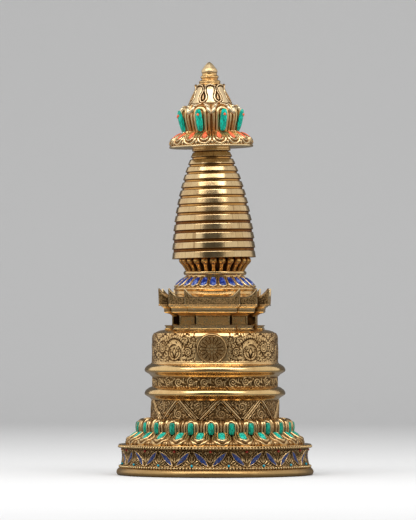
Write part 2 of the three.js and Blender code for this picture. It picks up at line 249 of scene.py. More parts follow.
def beads(bead, places, subdivisions=2):
    """Round beads, bead mm across."""
    bm = bmesh.new()
    for at in places:
        bmesh.ops.create_icosphere(bm, subdivisions=subdivisions, radius=bead / 2 * MM, matrix=at)
    return bm


def repeat(angle, count, offset=0.0):
    """The angle from the middle of the nearest of count equal bays."""
    bay = 2 * math.pi / count
    return (angle - offset + bay / 2) % bay - bay / 2


def points_of(mesh):
    """The places and the normals of the points of a mesh."""
    place, normal = np.empty((2, len(mesh.vertices) * 3), np.float32)
    mesh.vertices.foreach_get("co", place)
    mesh.vertex_normals.foreach_get("vector", normal)
    return place.reshape(-1, 3), normal.reshape(-1, 3)


def set_points(mesh, place, rubbed):
    """Moves the points of a mesh, and keeps how bright each of them is for the finish: how rubbed it is,
    less any painted shade.
    """
    mesh.vertices.foreach_set("co", place.ravel())
    worn = mesh.attributes.new("relief", "FLOAT", "POINT")
    worn.data.foreach_set("value", np.clip(rubbed, 0, 1).astype(np.float32))
    mesh.update()


CHASED_EDGE = math.radians(80)


def chased(piece, bays, raise_by, offset=0.0):
    """Works a pattern into a piece, the same in each of its bays. raise_by gives the rise in mm
    and how bright it is (how rubbed, less any painted shade), at an angle from the middle of the bay, a
    radius and a height."""
    place, normal = points_of(piece.data)
    angle = repeat(np.arctan2(place[:, 0], -place[:, 1]), bays, offset)
    radius = np.hypot(place[:, 0], place[:, 1]) / MM
    height = place[:, 2] / MM
    # Points that lie alike in their bays are worked out once.
    spots = np.round(np.stack([angle * 9000, radius * 40, height * 40], axis=1)).astype(int)
    _, first, back = np.unique(spots, axis=0, return_index=True, return_inverse=True)
    rise, rubbed = raise_by(angle[first], radius[first], height[first])
    back = back.ravel()
    place += normal * (rise[back] * MM)[:, None]
    set_points(piece.data, place, rubbed[back])
    piece.data.set_sharp_from_angle(angle=CHASED_EDGE)
    return piece


BEADS = 180
BEAD = 2.9
BEAD_RADIUS = 103.5


def shade_between_beads(angle, radius, z):
    """Painted shade in the gaps between the beads of a wire."""
    return angle * 0, np.clip((1.35 - np.abs(angle) * BEAD_RADIUS) / 0.35, 0, 1)


def beaded_wire(name, radius, height):
    """A row of round beads on a thin wire that joins them."""
    bm = beads(BEAD, ring_of(BEADS, radius, height))
    wire = bmesh.ops.create_circle(
        bm, cap_ends=False, radius=BEAD * 0.25 * MM, segments=6,
        matrix=Matrix.Translation((0, (BEAD * 0.2 - radius) * MM, height * MM))
        @ Matrix.Rotation(math.pi / 2, 4, "Y"),
    )
    edges = list({edge for vert in wire["verts"] for edge in vert.link_edges})
    bmesh.ops.spin(
        bm, geom=wire["verts"] + edges, cent=(0, 0, 0), axis=(0, 0, 1), dvec=(0, 0, 0),
        angle=2 * math.pi, steps=192, use_merge=True, use_duplicate=False,
    )
    return chased(finished(name, bm), BEADS, shade_between_beads)


beaded = gilt("beaded_gilt", (0.9, 0.64, 0.31), (0.28, 0.12, 0.03))
fitted(beaded_wire("lower_beads", 103.3, 9.5), beaded, "gilt", "lower_bead_row")


# Frieze wall
# Sheet copper with chased foliage, and a zigzag of leaf-shaped settings for the lapis.
# The wall hollows in a little between the two bead rows.

def highest(*fields):
    """The highest of several reliefs, point by point."""
    return np.maximum.reduce(fields)


def rounded(share):
    """1 in the middle, falling in a quarter of a circle to 0 at a share of 1."""
    return np.sqrt(np.clip(1 - share ** 2, 0, 1))


def scored(u, v, lines, groove=0.7):
    """Rounded strokes with a line scored round them: each line is a list of (u, v, half width).
    Gives the height of the strokes, from 0 to 1, and the depth of the scored line."""
    height = np.zeros(u.shape)
    gap = np.full(u.shape, 9.0)
    for line in lines:
        for (u0, v0, w0), (u1, v1, w1) in zip(line, line[1:]):
            du, dv = u1 - u0, v1 - v0
            length = du * du + dv * dv or 1e-9
            reach = max(w0, w1) + 2 * groove
            near = (
                (u > min(u0, u1) - reach) & (u < max(u0, u1) + reach)
                & (v > min(v0, v1) - reach) & (v < max(v0, v1) + reach)
            )
            if not near.any():
                continue
            along = np.clip(((u[near] - u0) * du + (v[near] - v0) * dv) / length, 0, 1)
            away = np.hypot(u[near] - u0 - along * du, v[near] - v0 - along * dv)
            width = w0 + (w1 - w0) * along + 1e-6
            height[near] = np.maximum(height[near], rounded(away / width))
            gap[near] = np.minimum(gap[near], away - width)
    return height, np.clip(1.6 - np.abs(gap / groove - 0.5) * 1.6, 0, 1)


def strokes(u, v, lines):
    """The height alone, for strokes with plain ground beside them."""
    return scored(u, v, lines, 0.1)[0]


def polar(u, v, reach, angle):
    return u + reach * math.cos(angle), v + reach * math.sin(angle)


def curl(u, v, start, turns, outer, inner, width, steps=26):
    """A spiral stroke that winds in about (u, v) from an angle in turns."""
    line = []
    for i in range(steps + 1):
        t = i / steps
        reach = outer + (inner - outer) * t ** 0.8
        line.append((*polar(u, v, reach, 2 * math.pi * (start + turns * t)), width * (1 - 0.35 * t)))
    return line


def beside(start, end, t, side):
    """The point a share t of the way from start to end, moved aside by a share of the length."""
    (u0, v0), (u1, v1) = start, end
    return u0 + (u1 - u0) * t - (v1 - v0) * side, v0 + (v1 - v0) * t + (u1 - u0) * side


def bent(start, end, bow, width, tip=0.25, steps=6):
    """A leaf stroke from start to end, bowed sideways, full in the middle and fine at its tip."""
    line = []
    for i in range(steps + 1):
        t = i / steps
        full = width * (0.45 + 0.55 * math.sin(math.pi * min(1, t * 1.15)) ** 0.8)
        full = full * (1 - t ** 3) + tip * width * t ** 3
        line.append((*beside(start, end, t, bow * math.sin(math.pi * t)), full))
    return line


FRIEZE_BAYS = 16
FRIEZE_MID = 19.5
FRIEZE_RADIUS = 99.6
LEAF_FOOT, LEAF_TIP = (1.9, -8.1), (17.6, 8.2)
LEAF_U, LEAF_V = np.subtract(LEAF_TIP, LEAF_FOOT)
LEAF_LENGTH = math.hypot(LEAF_U, LEAF_V)
LEAF_BOW = 0.12


def leaf_edges(foot, tip, bow, width):
    """The two edges of a pointed leaf, each bowed out by a share of its length."""
    return [
        [(*beside(foot, tip, t, way * math.sin(math.pi * t)), width) for t in np.linspace(0, 1, 13)]
        for way in (-bow, bow)
    ]


PALMETTE = [
    bent((0, -5.8), (0, 5.4), 0, 0.9), bent((0.9, -3.8), (2.6, 4.0), -0.16, 0.75),
    bent((1.8, -2.6), (5.2, 3.6), -0.2, 0.75), bent((3.6, 4.2), (8.6, 7.2), 0.2, 0.75),
    bent((4.4, -0.2), (8.4, 4.6), 0.2, 0.65), curl(3.2, 6.8, 0.0, 1.1, 1.9, 0.5, 0.5, 14),
    bent((8.6, 5.2), (12.6, 8.4), 0.2, 0.65), bent((11.4, 5.2), (15.2, 8.8), 0.2, 0.5),
]
SPRIG = [
    bent((19.6, -4.4), (19.6, 6.4), 0, 0.9), bent((18.7, -3.6), (17.2, 3.2), 0.18, 0.75),
    bent((17.8, -5.2), (14.6, 0.8), 0.2, 0.75), bent((16.4, -6.4), (11.8, -1.6), 0.25, 0.7),
    bent((13.6, -7.2), (8.8, -4.4), 0.2, 0.65), bent((10.2, -7.8), (5.8, -6.6), 0.2, 0.55),
    bent((18.9, 1.8), (18.2, 6.0), 0.15, 0.5), bent((15.6, -3.4), (12.4, 0.2), 0.2, 0.5),
]


def frieze_bed(u, v):
    """1 inside a leaf's setting, where the stone lies."""
    u, v = u - LEAF_FOOT[0], v - LEAF_FOOT[1]
    share = np.clip((u * LEAF_U + v * LEAF_V) / LEAF_LENGTH ** 2, 0, 1)
    across = np.abs(u * LEAF_V - v * LEAF_U) / LEAF_LENGTH
    return across < LEAF_BOW * LEAF_LENGTH * np.sin(np.pi * share)


def frieze_relief(angle, radius, z):
    """A bay, mirrored about its V: each half is 19.5 mm long."""
    u, v = np.abs(angle) * FRIEZE_RADIUS, z - FRIEZE_MID
    shown = (radius > 90) & (v > -8.9) & (v < 9.2)
    border, moat = scored(u, v, leaf_edges(LEAF_FOOT, LEAF_TIP, LEAF_BOW, 0.62), 0.6)
    leaf, groove = scored(u, v, PALMETTE + SPRIG, 0.4)
    edge = strokes(u, v, [[(-2, -8.5, 0.4), (22, -8.5, 0.4)]])
    rise = highest(1.5 * border, 0.8 * leaf * ~frieze_bed(u, v), 0.8 * edge) * shown
    # The ground along the top, under the rim and the upper beads, is darker: painted shade.
    ground = np.where(v > 8.4, 0.4, 0.56) - 0.6 * np.maximum(moat, 0.9 * groove)
    return rise, highest(border, 0.9 * leaf, 0.8 * edge, ground)


chased_gilt = gilt("chased_gilt", (0.95, 0.66, 0.32), (0.42, 0.24, 0.09), punch=0.3)
FRIEZE = [(101.2, 8.2), (100.6, 12.4), (99.2, 18), (99.2, 21), (100.4, 26.6), (100.9, 29.6)]
frieze = chased(turned("frieze_foliage", rows(FRIEZE, 0.5, 6), 1040), FRIEZE_BAYS, frieze_relief)
fitted(frieze, chased_gilt, "gilt", "frieze_wall")


# Lapis leaves of the frieze
# Thin slices of lapis, ground to a leaf and set in the raised borders, two to a bay.

def stone_material(name, colors, streak, scale, rough, vein=None):
    """Polished stone: blotches of its colours, drawn out along the height, and darker veins."""
    material, tree, shader = new_material(name)
    place = added(tree, "TexCoord", {})["Object"]
    drawn = added(tree, "Mapping", {"Vector": place, "Scale": (1, 1, streak)})["Vector"]
    blotch = clouded(tree, drawn, scale, Detail=4, Distortion=0.6)
    tone = tree.nodes.new("ShaderNodeValToRGB")
    stops = tone.color_ramp.elements
    stops[0].position, stops[0].color = 0.32, (*colors[0], 1)
    stops[1].position, stops[1].color = 0.7, (*colors[-1], 1)
    if len(colors) == 3:
        stops.new(0.52).color = (*colors[1], 1)
    feed(tree, tone, {"Fac": blotch})
    color = tone.outputs["Color"]
    if vein:
        cell = {"Vector": drawn, "Scale": scale * 0.8}
        crack = added(tree, "TexVoronoi", cell, feature="DISTANCE_TO_EDGE")["Distance"]
        color = blended(tree, ranged(tree, crack, 0.0, 0.09, 0.75, 0.0, "LINEAR"), color, (*vein, 1))
    pits = added(tree, "Bump", {"Strength": 0.15, "Distance": 0.0003, "Height": blotch})["Normal"]
    feed(tree, shader, {
        "Base Color": color, "Roughness": rough, "Specular IOR Level": 0.3, "Coat Weight": 0.2,
        "Coat Roughness": 0.08, "Normal": pits,
    })
    return material


def stones(shape, places, sides=20, courses=12, bm=None):
    """Stones ground from a ball of radius 1: shape gives the new place in mm of each point."""
    if bm is None:
        bm = bmesh.new()
    for at in places:
        ball = bmesh.ops.create_uvsphere(bm, u_segments=sides, v_segments=courses, radius=1)
        for vert in ball["verts"]:
            vert.co = Vector(shape(*vert.co)) * MM
        bmesh.ops.transform(bm, matrix=at, verts=ball["verts"])
    return bm


def leaf_shape(length, width, thick):
    """A leaf with a domed face, pointed at both ends."""
    return lambda x, y, z: (x * width / 2 * (1 - abs(z)) ** 0.2, y * thick, z * length / 2)


lapis = stone_material(
    "lapis", [(0.002, 0.006, 0.04), (0.004, 0.02, 0.125), (0.025, 0.065, 0.24)], 1, 420, 0.28,
    (0.1, 0.09, 0.08),
)
stone_leaf = leaf_shape(LEAF_LENGTH - 2.2, 5.7, 1.4)
leaf_roll = math.degrees(math.atan2(LEAF_U, LEAF_V))
leaf_turn = (LEAF_FOOT[0] + LEAF_TIP[0]) / 2 / FRIEZE_RADIUS
bm = bmesh.new()
for side in (-1, 1):
    places = ring_of(FRIEZE_BAYS, FRIEZE_RADIUS, FRIEZE_MID, roll=side * leaf_roll, turn=side * leaf_turn)
    stones(stone_leaf, places, 16, 10, bm)
for vert in bm.verts:
    out = np.interp(vert.co.z / MM, [12.4, 18, 21, 26.6], [1.4, 0, 0, 1.2]) * MM
    vert.co.xy *= 1 + out / vert.co.xy.length
fitted(finished("frieze_lapis_leaves", bm), lapis, "lapis")


# Dots of the frieze
# Small beads in cup settings: coral over each V, turquoise under each point between them.

coral = stone_material("coral", [(0.42, 0.04, 0.012), (0.72, 0.1, 0.03), (0.85, 0.2, 0.07)], 1, 500, 0.3)
dark_coral = stone_material("dark_coral", [(0.14, 0.01, 0.006), (0.34, 0.025, 0.012)], 1, 500, 0.35)
sky_turquoise = stone_material("sky_turquoise", [(0.0, 0.25, 0.36), (0.01, 0.42, 0.5)], 1, 400, 0.3)
coral_dots = beads(3.0, ring_of(FRIEZE_BAYS, 101.0, 27.5))
fitted(finished("frieze_coral_dots", coral_dots), dark_coral, "coral")
turquoise_dots = beads(2.7, ring_of(FRIEZE_BAYS, 101.4, 12.5, shift=0.5))
fitted(finished("frieze_turquoise_dots", turquoise_dots), sky_turquoise, "turquoise")


# Rim over the frieze
# A second beaded wire under a thin plain lip, which finishes the lower tier.

fitted(beaded_wire("upper_beads", 104, 31), beaded, "gilt", "upper_bead_row")
RIM = [
    (98, 29.4), (101.6, 29.5), (102.6, 30.6), (102.8, 32.2), (104.1, 32.3), (104.7, 32.8), (104.2, 33.4),
    (96, 33.7),
]
fitted(turned("rim_band", rows(RIM, 0.35, 1), 240), burnished, "gilt", "rim_moulding")


# Lower lotus petals
# A ring of petals that hang outward. Each holds a turquoise between ridged borders, and small
# sepals show under them.

LOTUS_PETALS = 24
LOWER_RADIUS, LOWER_HALF = 90, 11.7
LOWER_SLOPE = [
    (93.6, 33.6), (94.9, 34.4), (94.3, 35.6), (92.3, 36.9), (89.6, 38.4), (86.4, 40.3), (82.4, 43),
    (79.5, 45),
]


def along(outline, z):
    """How many mm along an outline a height lies."""
    run = np.cumsum([0] + [math.dist(a, b) for a, b in zip(outline, outline[1:])])
    return np.interp(z, [height for _, height in outline], run)


def arch(half, foot, shoulder, width):
    """A stroke up one side, round over the top and down the other; upside down if foot is
    above shoulder."""
    way = 1 if shoulder > foot else -1
    line = [(-half, foot, width), (-half, shoulder, width)]
    for i in range(1, 10):
        angle = math.pi * (1 - i / 10)
        line.append((half * math.cos(angle), shoulder + way * half * math.sin(angle) * 0.9, width))
    return line + [(half, shoulder, width), (half, foot, width)]


def lower_petal_relief(angle, radius, z):
    """A petal, u mm from its middle and s mm up the slope. Its ridges run on past the top."""
    u, s = angle * LOWER_RADIUS, along(LOWER_SLOPE, z)
    shown = (radius > 76) & (z > 33.8)
    across = np.clip(np.abs(u) / LOWER_HALF, 0, 1)
    swell = 3.4 * np.sqrt(1 - across ** 2.4) * np.clip((s - 0.4) / 4, 0, 1) ** 0.5
    inner, moat = scored(u, s, [arch(4.8, 22, 8.0, 1.2)], 0.6)
    middle, gap = scored(u, s, [arch(7.3, 22, 8.1, 0.6)], 0.4)
    outer, groove = scored(u, s, [arch(9.9, 22, 9.9, 0.9)], 0.45)
    sepals, gaps = scored(np.abs(u), s, [bent((11.8, 4.0), (11.8, 0.3), 0, 1.3)], 0.4)
    low = s < 4.4
    rise = swell + highest(1.7 * inner, 0.6 * middle, 0.9 * outer, 1.3 * sepals * low)
    rise = rise - 0.3 * np.maximum(gap, groove)
    ground = 0.5 - 0.5 * highest(moat, 0.7 * gap, 0.8 * groove, gaps * low)
    rubbed = highest(inner, 0.75 * middle, 0.8 * outer, 0.7 * sepals * low, ground)
    return rise * shown, rubbed


petal_gilt = gilt("petal_gilt", (0.86, 0.6, 0.29), (0.34, 0.17, 0.055))
lower_lotus = turned("lower_lotus_petals", rows(LOWER_SLOPE, 0.5, 4), 912)
chased(lower_lotus, LOTUS_PETALS, lower_petal_relief, math.pi / LOTUS_PETALS)
fitted(lower_lotus, petal_gilt, "gilt", "lotus_lower_petals")


def cabochon(length, width, thick):
    """A long polished stone with full ends and nearly straight sides."""
    def shape(x, y, z):
        girth = math.hypot(x, y) or 1
        return x / girth * girth ** 0.4 * width / 2, y / girth * girth ** 0.8 * thick, z * length / 2
    return shape


pale_turquoise = stone_material(
    "pale_turquoise", [(0.0, 0.2, 0.135), (0.0, 0.45, 0.32), (0.06, 0.64, 0.5)], 0.8, 420, 0.2,
    (0.0, 0.12, 0.09),
)
lower_stones = stones(cabochon(12.4, 7.9, 2.3), ring_of(LOTUS_PETALS, 88.2, 43.2, -54, shift=0.5))
fitted(finished("lower_turquoises", lower_stones), pale_turquoise, "turquoise")


# Upper lotus petals
# The petals that stand up from the waist. Each holds a tall turquoise, and the tips of a back
# row show between them.

UPPER_RADIUS, UPPER_HALF, UPPER_MID = 84, 11, 52.8
UPPER_WALL = [(79, 45.2), (79.6, 48.6), (79.8, 52.6), (79.1, 55.4), (77.4, 57.4), (74.8, 58.6), (70, 58.8)]


def upper_petal_relief(angle, radius, z):
    """A petal from its middle: its ridges start below the foot, and the back row at its sides."""
    u, v = angle * UPPER_RADIUS, z - UPPER_MID
    shown = (radius > 71) & (z > 45.3)
    across = np.clip(np.abs(u) / UPPER_HALF, 0, 1)
    swell = 4.2 * np.sqrt(1 - across ** 3) * np.clip((59.6 - z) / 4, 0, 1) ** 0.6
    inner, moat = scored(u, v, [arch(4.3, -9, 0.4, 1.0)], 0.5)
    outer, groove = scored(u, v, [arch(7.5, -9, -1.2, 1.4)], 0.5)
    back, gaps = scored(np.abs(u), v, [bent((11, -7), (11, 5.6), 0, 1.4, tip=0.8)], 0.4)
    rise = swell + highest(1.6 * inner, 1.0 * outer) - 0.3 * groove
    rise = np.maximum(rise, 3.2 * back)
    ground = 0.3 - 0.34 * highest(moat, groove, gaps)
    rubbed = highest(inner, 0.9 * outer, 0.8 * back, ground)
    return rise * shown, rubbed * (radius > 72)


upper_lotus = turned("upper_lotus_petals", rows(UPPER_WALL, 0.5, 4), 864)
chased(upper_lotus, LOTUS_PETALS, upper_petal_relief)
fitted(upper_lotus, petal_gilt, "gilt", "lotus_upper_petals")
green_turquoise = stone_material(
    "green_turquoise", [(0.0, 0.09, 0.055), (0.0, 0.3, 0.19), (0.0, 0.43, 0.29)], 0.3, 520, 0.25,
    (0.0, 0.06, 0.04),
)
upper_stones = stones(cabochon(12.8, 6.5, 2.2), ring_of(LOTUS_PETALS, 84.3, 51.4, 2))
fitted(finished("upper_turquoises", upper_stones), green_turquoise, "turquoise")


# Lower band of the drum
# A chased zigzag of ridged straps, with a scroll and leaves in each triangle between them.

ZIGZAGS = 9
DRUM_RADIUS = 69.3
DRUM_MID = 71


def lattice(first, last, low, high, step):
    """Staggered spots that cover a field."""
    return [
        (first + step * column + step / 2 * (row % 2), low + step * row)
        for row in range(round((high - low) / step) + 1)
        for column in range(round((last - first) / step) + 1)
    ]


def filled(lines, spots, free, length, width):
    """The lines, and a small leaf on each spot that has free mm of bare ground round it."""
    taken = np.array([point[:2] for line in lines for point in line])
    leaves = []
    for u, v in spots:
        if np.hypot(taken[:, 0] - u, taken[:, 1] - v).min() > free:
            leaves.append(bent((u, v), polar(u, v, length, 0.4 * u + 0.6 * v), 0.3, width))
    return lines + leaves


def drum_relief(angle, radius, z):
    """A bay, from the point where the straps meet. hanging is the field's turned copy at its sides."""
    u, v = angle * DRUM_RADIUS, z - DRUM_MID
    shown = (radius > 66) & (v > -10.4) & (v < 10.2)
    reach = math.pi / ZIGZAGS * DRUM_RADIUS
    straps, cuts = scored(np.abs(u), v, [
        [(shift + 0.6, 12, width), (reach + shift - 0.6, -12, width)]
        for shift, width in ((-3.4, 0.5), (0, 1.2), (3.4, 0.5))
    ], 0.7)
    lines = [
        curl(0.4, -4.4, 0.3, 1.9, 5.6, 0.8, 0.8),
        bent((-2.4, 1.2), (0.4, 7.6), 0.25, 0.85), bent((1.6, 1.6), (3.2, 5.2), -0.2, 0.75),
        bent((-11.8, -9.4), (-6.4, -3.6), 0.25, 0.85), bent((6.6, -9.4), (10.2, -5.4), 0.25, 0.8),
    ]
    hanging = [
        [(shift - a, -b - 1.2, w) for a, b, w in line] for line in lines for shift in (-reach, reach)
    ]
    field = filled(lines + hanging, lattice(-24, 24, -10.2, 9.4, 2.7), 1.7, 2.3, 0.75)
    leaf = strokes(u, v, field) * (np.maximum(straps, cuts) < 0.05)
    return (0.9 * straps + 0.5 * leaf) * shown, highest(straps, 0.36 - 0.36 * cuts, 0.85 * leaf)


drum_gilt = gilt("drum_gilt", (0.95, 0.65, 0.32), (0.34, 0.19, 0.07), patina=0.97, punch=0.25)
drum_low = turned("drum_zigzag_band", rows([(69.2, 60.5), (68.9, 81.6)], 0.5), 852)
chased(drum_low, ZIGZAGS, drum_relief, math.radians(8))
fitted(drum_low, drum_gilt, "gilt", "drum_lower_band")


# Rings of the drum
# Two plain rings between the bands, turned to a rounded ridge and burnished bright.

RIDGE = [
    (0.06, 0.06), (0.13, 0.17), (0.2, 0.36), (0.28, 0.64), (0.36, 0.9), (0.43, 0.99), (0.5, 1),
    (0.62, 0.94), (0.74, 0.78), (0.86, 0.48), (0.94, 0.2),
]
for label, bottom, top in (("lower", 81.3, 95.6), ("upper", 106.5, 120.8)):
    sides = [(69.3 + 7.1 * reach, bottom + (top - bottom) * share) for share, reach in RIDGE]
    outline = [(66, bottom), (69.3, bottom), *sides, (69.3, top - 0.2), (66, top)]
    ring = turned(f"drum_{label}_ridge", rows(outline, 0.35, 4), 240)
    fitted(ring, burnished, "gilt", f"drum_{label}_ring")


# Middle band of the drum
# A chased vine that curls up and down by turns, with a leaf at each turn.

VINE_TURNS = 14
BAND_RADIUS, BAND_MID = 67.9, 101


def vine_relief(angle, radius, z):
    """A turn up and a turn down, with the strokes of their neighbours at both sides."""
    u, v = angle * BAND_RADIUS, z - BAND_MID
    shown = (radius > 65) & (np.abs(v) < 5.6)
    bay = 2 * math.pi / VINE_TURNS * BAND_RADIUS
    lines = []
    for shift, way in ((-bay / 4, 1), (bay / 4, -1)):
        for mid in (shift - bay, shift, shift + bay):
            lines += [
                curl(mid, way * -0.2, 0.25 * way + 0.5, -1.75 * way, 4.9, 0.7, 0.75),
                bent((mid - 8.6, way * -4.4), (mid - 5.6, way * 2.2), 0.3 * way, 0.8),
                bent((mid + 6.6, way * -1.2), (mid + 4.2, way * 4.2), 0.3 * way, 0.75),
            ]
    leaf = strokes(u, v, filled(lines, lattice(-bay, bay, -4.2, 4.2, 2.7), 1.7, 2.2, 0.7))
    edge = strokes(u, v, [[(-99, level, 0.5), (99, level, 0.5)] for level in (5.3, -5.3)])
    return 0.6 * np.maximum(edge, leaf) * shown, highest(0.8 * edge, leaf, 0.3 + 0 * u)


vine_gilt = gilt("vine_gilt", (1.0, 0.68, 0.32), (0.3, 0.16, 0.05), patina=0.95, punch=0.2)
drum_mid = turned("drum_vine_band", rows([(67.7, 95.4), (67.7, 106.8)], 0.45), 846)
chased(drum_mid, VINE_TURNS, vine_relief)
fitted(drum_mid, vine_gilt, "gilt", "drum_middle_band")


# Dome
# Raised from sheet and chased all round with scrolling leaves about three medallions.
# The shoulder above is left plain and burnished.

MEDALLIONS = 3
DOME_RADIUS, DOME_MID = 68.4, 136.7
DOME_WALL = [
    (69.6, 120.5), (69.6, 121.2), (68.3, 121.7), (68.3, 149.4), (67.8, 151.2), (66.4, 153), (63.4, 154.9),
    (59, 156.5), (52, 157.4),
]


def foliage(stem, length, sides):
    """Small leaves along the sides of a stem, leaning the way that it grows."""
    spacing, lean, bow, width = 2.3, 0.9, 0.28, 0.6
    leaves = []
    travelled, due = 0.0, spacing * 0.6
    for (u0, v0, _), (u1, v1, _) in zip(stem, stem[1:]):
        step = math.dist((u0, v0), (u1, v1))
        travelled += step
        if travelled < due or step == 0:
            continue
        due += spacing
        heading = math.atan2(v1 - v0, u1 - u0)
        for side in sides:
            tip = polar(u1, v1, length, heading + side * lean)
            leaves.append(bent((u1, v1), tip, -bow * side, width))
    return leaves


def dome_lines():
    """A sixth of the dome, from the middle of a medallion: 72 mm by 29 mm. Gives the main scrolls,
    and the fine cuts round and between them."""
    loop, spray = (
        [(u + wide * math.cos(t), v + high * math.sin(t), 0.46) for t in np.linspace(start, end, count)]
        for u, v, wide, high, start, end, count in (
            (43.8, -4.2, 9.0, 8.8, 2.2, 8.0, 30), (44.0, -4.4, 13.6, 15.2, 0.5, 2.5, 24),
        )
    )
    scrolls = [
        (curl(26.6, -3.8, 0.1, 2.0, 5.8, 1.5, 0.46, 40), 22, (-1,), 2.2),
        (curl(62.6, 1.2, 0.45, -2.4, 8.0, 1.7, 0.46, 48), 26, (1,), 2.4),
        (curl(71.6, -9.4, 0.25, -1.2, 3.6, 1.2, 0.46, 24), 14, (1,), 1.8),
        (curl(19.8, 9.6, 0.9, 1.2, 3.4, 1.2, 0.46, 24), 14, (-1,), 1.8),
        (curl(54.6, -10.4, 0.4, 1.2, 3.2, 1.1, 0.46, 24), 14, (-1,), 1.8),
        (loop, 30, (1,), 2.0),
        (spray, 24, (-1, 1), 2.6),
        (bent((18.2, -8.6), (33.6, -11.2), -0.14, 0.5, steps=12), 12, (-1,), 2.0),
        (bent((26, 10.6), (31.4, 2.6), -0.2, 0.5, steps=12), 12, (-1, 1), 2.6),
    ]
    fine = []
    for stem, reach, sides, length in scrolls:
        fine += foliage(rows(stem[:reach], 1.0), 1.2 * length, sides)
    for tip in ((44.2, 1.0), (37.8, -2.6), (50.2, -3.0)):
        fine += leaf_edges((43.9, -10.4), tip, 0.2, 0.44)
    main = [stem for stem, _, _, _ in scrolls]
    plain = [
        (26.6, -3.8, 1.8), (44.0, -4.6, 2.2), (36.0, 3.6, 1.8), (54.0, 0.6, 1.7), (62.6, 1.2, 1.8),
        (58, 11, 2),
    ]
    spots = [
        spot for spot in lattice(17.6, 73, -13.0, 16.0, 2.3)
        if all(math.dist(spot, place[:2]) > place[2] for place in plain)
    ]
    lines = filled(main + fine, spots, 1.5, 2.6, 0.62)
    return main, [[(a, b, w + 0.13) for a, b, w in line] for line in lines]


def dome_relief(angle, radius, z):
    """Half a bay, from the middle of its medallion: a wheel of petals round a hub in a raised
    rim, and scrollwork beyond."""
    u, v = np.abs(angle) * DOME_RADIUS, z - DOME_MID
    out, bearing = np.hypot(u, v), np.arctan2(u, v)
    rim, felloe, hub, boss = 16.4, 14.2, 6.2, 2.2
    shown = (radius > 60) & (v > -14.4) & (v < 16.8)
    main, lines = dome_lines()
    beyond = (out > rim + 0.7) * shown
    ridges = strokes(u, v, [[(a, b, 1.3) for a, b, _ in line] for line in main[:2] + main[5:6]])
    cut = strokes(u, v, lines) * beyond
    circles = [[(reach, 0, 0.5), (reach, 0.1, 0.5)] for reach in (rim, felloe, hub, boss)]
    turn = repeat(bearing, 16)
    petals = strokes(turn * 9.6, out, [arch(1.5, hub, 11.6, 0.5), [(0, 7.6, 0.4), (0, 10.8, 0.4)]])
    spokes = strokes((bearing % (math.pi / 4) - math.pi / 8) * 4.2, out, [[(0, boss, 0.4), (0, hub, 0.4)]])
    wheel = 0.9 * shown * highest(
        strokes(out, v * 0, circles), petals * (out > hub) * (out < 13),
        spokes * (out > boss) * (out < hub),
    )
    band = strokes(out, v * 0, [[(15.3, 0, 0.9), (15.3, 0.1, 0.9)]]) * shown
    edge = strokes(u, v, [[(6, 16.4, 0.5), (80, 16.4, 0.5)], [(-3, -14, 0.6), (80, -14, 0.6)]])
    depth = np.maximum(cut, wheel)
    rise = highest(0.5 * edge * (radius > 60), 0.45 * ridges * beyond, 0.5 * band) - 0.3 * depth
    return rise, 0.92 - 0.92 * depth


dome_gilt = gilt("dome_gilt", (0.97, 0.65, 0.3), (0.36, 0.18, 0.055), patina=0.95, punch=0.15)
dome = turned("dome_scrollwork", rows(DOME_WALL, 0.55, 2), 804)
chased(dome, MEDALLIONS, dome_relief)
fitted(dome, dome_gilt, "gilt", "dome")


# Harmika plinth
# The square part of the stupa stands on the dome. Its plan has a projection on each side, so it
# has twenty corners. The plinth is a flat band between two lips.

def plan(size, grow=0.0):
    """The twenty corners, anticlockwise from the right end of the front. size is the reach of
    the projection, the reach of the corner block, and half the projection's width."""
    far, mid, near = (value + grow for value in size)
    quarter = [(near, -far), (near, -mid), (mid, -mid), (mid, -near), (far, -near)]
    turns = [(1, 0), (0, 1), (-1, 0), (0, -1)]
    return [(x * c - y * s, x * s + y * c) for c, s in turns for x, y in quarter]


def stations(size, spacing):
    """Places along the plan: the side that each is on, how far along it, and its distance from
    the middle of the nearest projection."""
    corners = plan(size)
    places = []
    for side, start in enumerate(corners):
        end = corners[(side + 1) % 20]
        count = max(2, round(math.dist(start, end) / spacing))
        for t in np.arange(count) / count:
            x, y = np.abs(beside(start, end, t, 0))
            places.append((side, t, size[0] + min(x, y) - max(x, y)))
    return places + [(0, 0.0, size[2])]


def cornered(name, size, courses, spacing=1.0, corner_rise=None, corner_lean=0.0):
    """A block on the plan of twenty corners, from courses of (grow, height, share). Share, if
    given, is how much of the rise at the outer corners a course takes."""
    places = stations(size, spacing)
    courses = [(None, courses[0][1]), *courses, (None, courses[-1][1])]
    bm = bmesh.new()
    run_of = bm.verts.layers.float.new("run")
    for vert, column, course in sheet(bm, len(places) - 1, len(courses) - 1):
        side, t, run = places[column]
        grow, height, *share = courses[course]
        if grow is None:
            vert.co = (0, 0, height * MM)
            continue
        rise = corner_rise(run) * share[0] if share else 0.0
        corners = plan(size, grow + corner_lean * rise)
        spot = Vector(corners[side]).lerp(Vector(corners[(side + 1) % 20]), t)
        vert.co = Vector((*spot, height + rise)) * MM
        vert[run_of] = run
    return finished(name, bm)


def engraved(piece, raise_by):
    """Works a pattern into a cornered block, from each point's run along the plan and height."""
    mesh = piece.data
    place, normal = points_of(mesh)
    run = np.empty(len(place), np.float32)
    mesh.attributes["run"].data.foreach_get("value", run)
    upright = np.abs(normal[:, 2]) < 0.5
    rise, rubbed = raise_by(run, place[:, 2] / MM)
    place += normal * (rise * upright * MM)[:, None]
    set_points(mesh, place, rubbed)
    mesh.attributes.remove(mesh.attributes["run"])


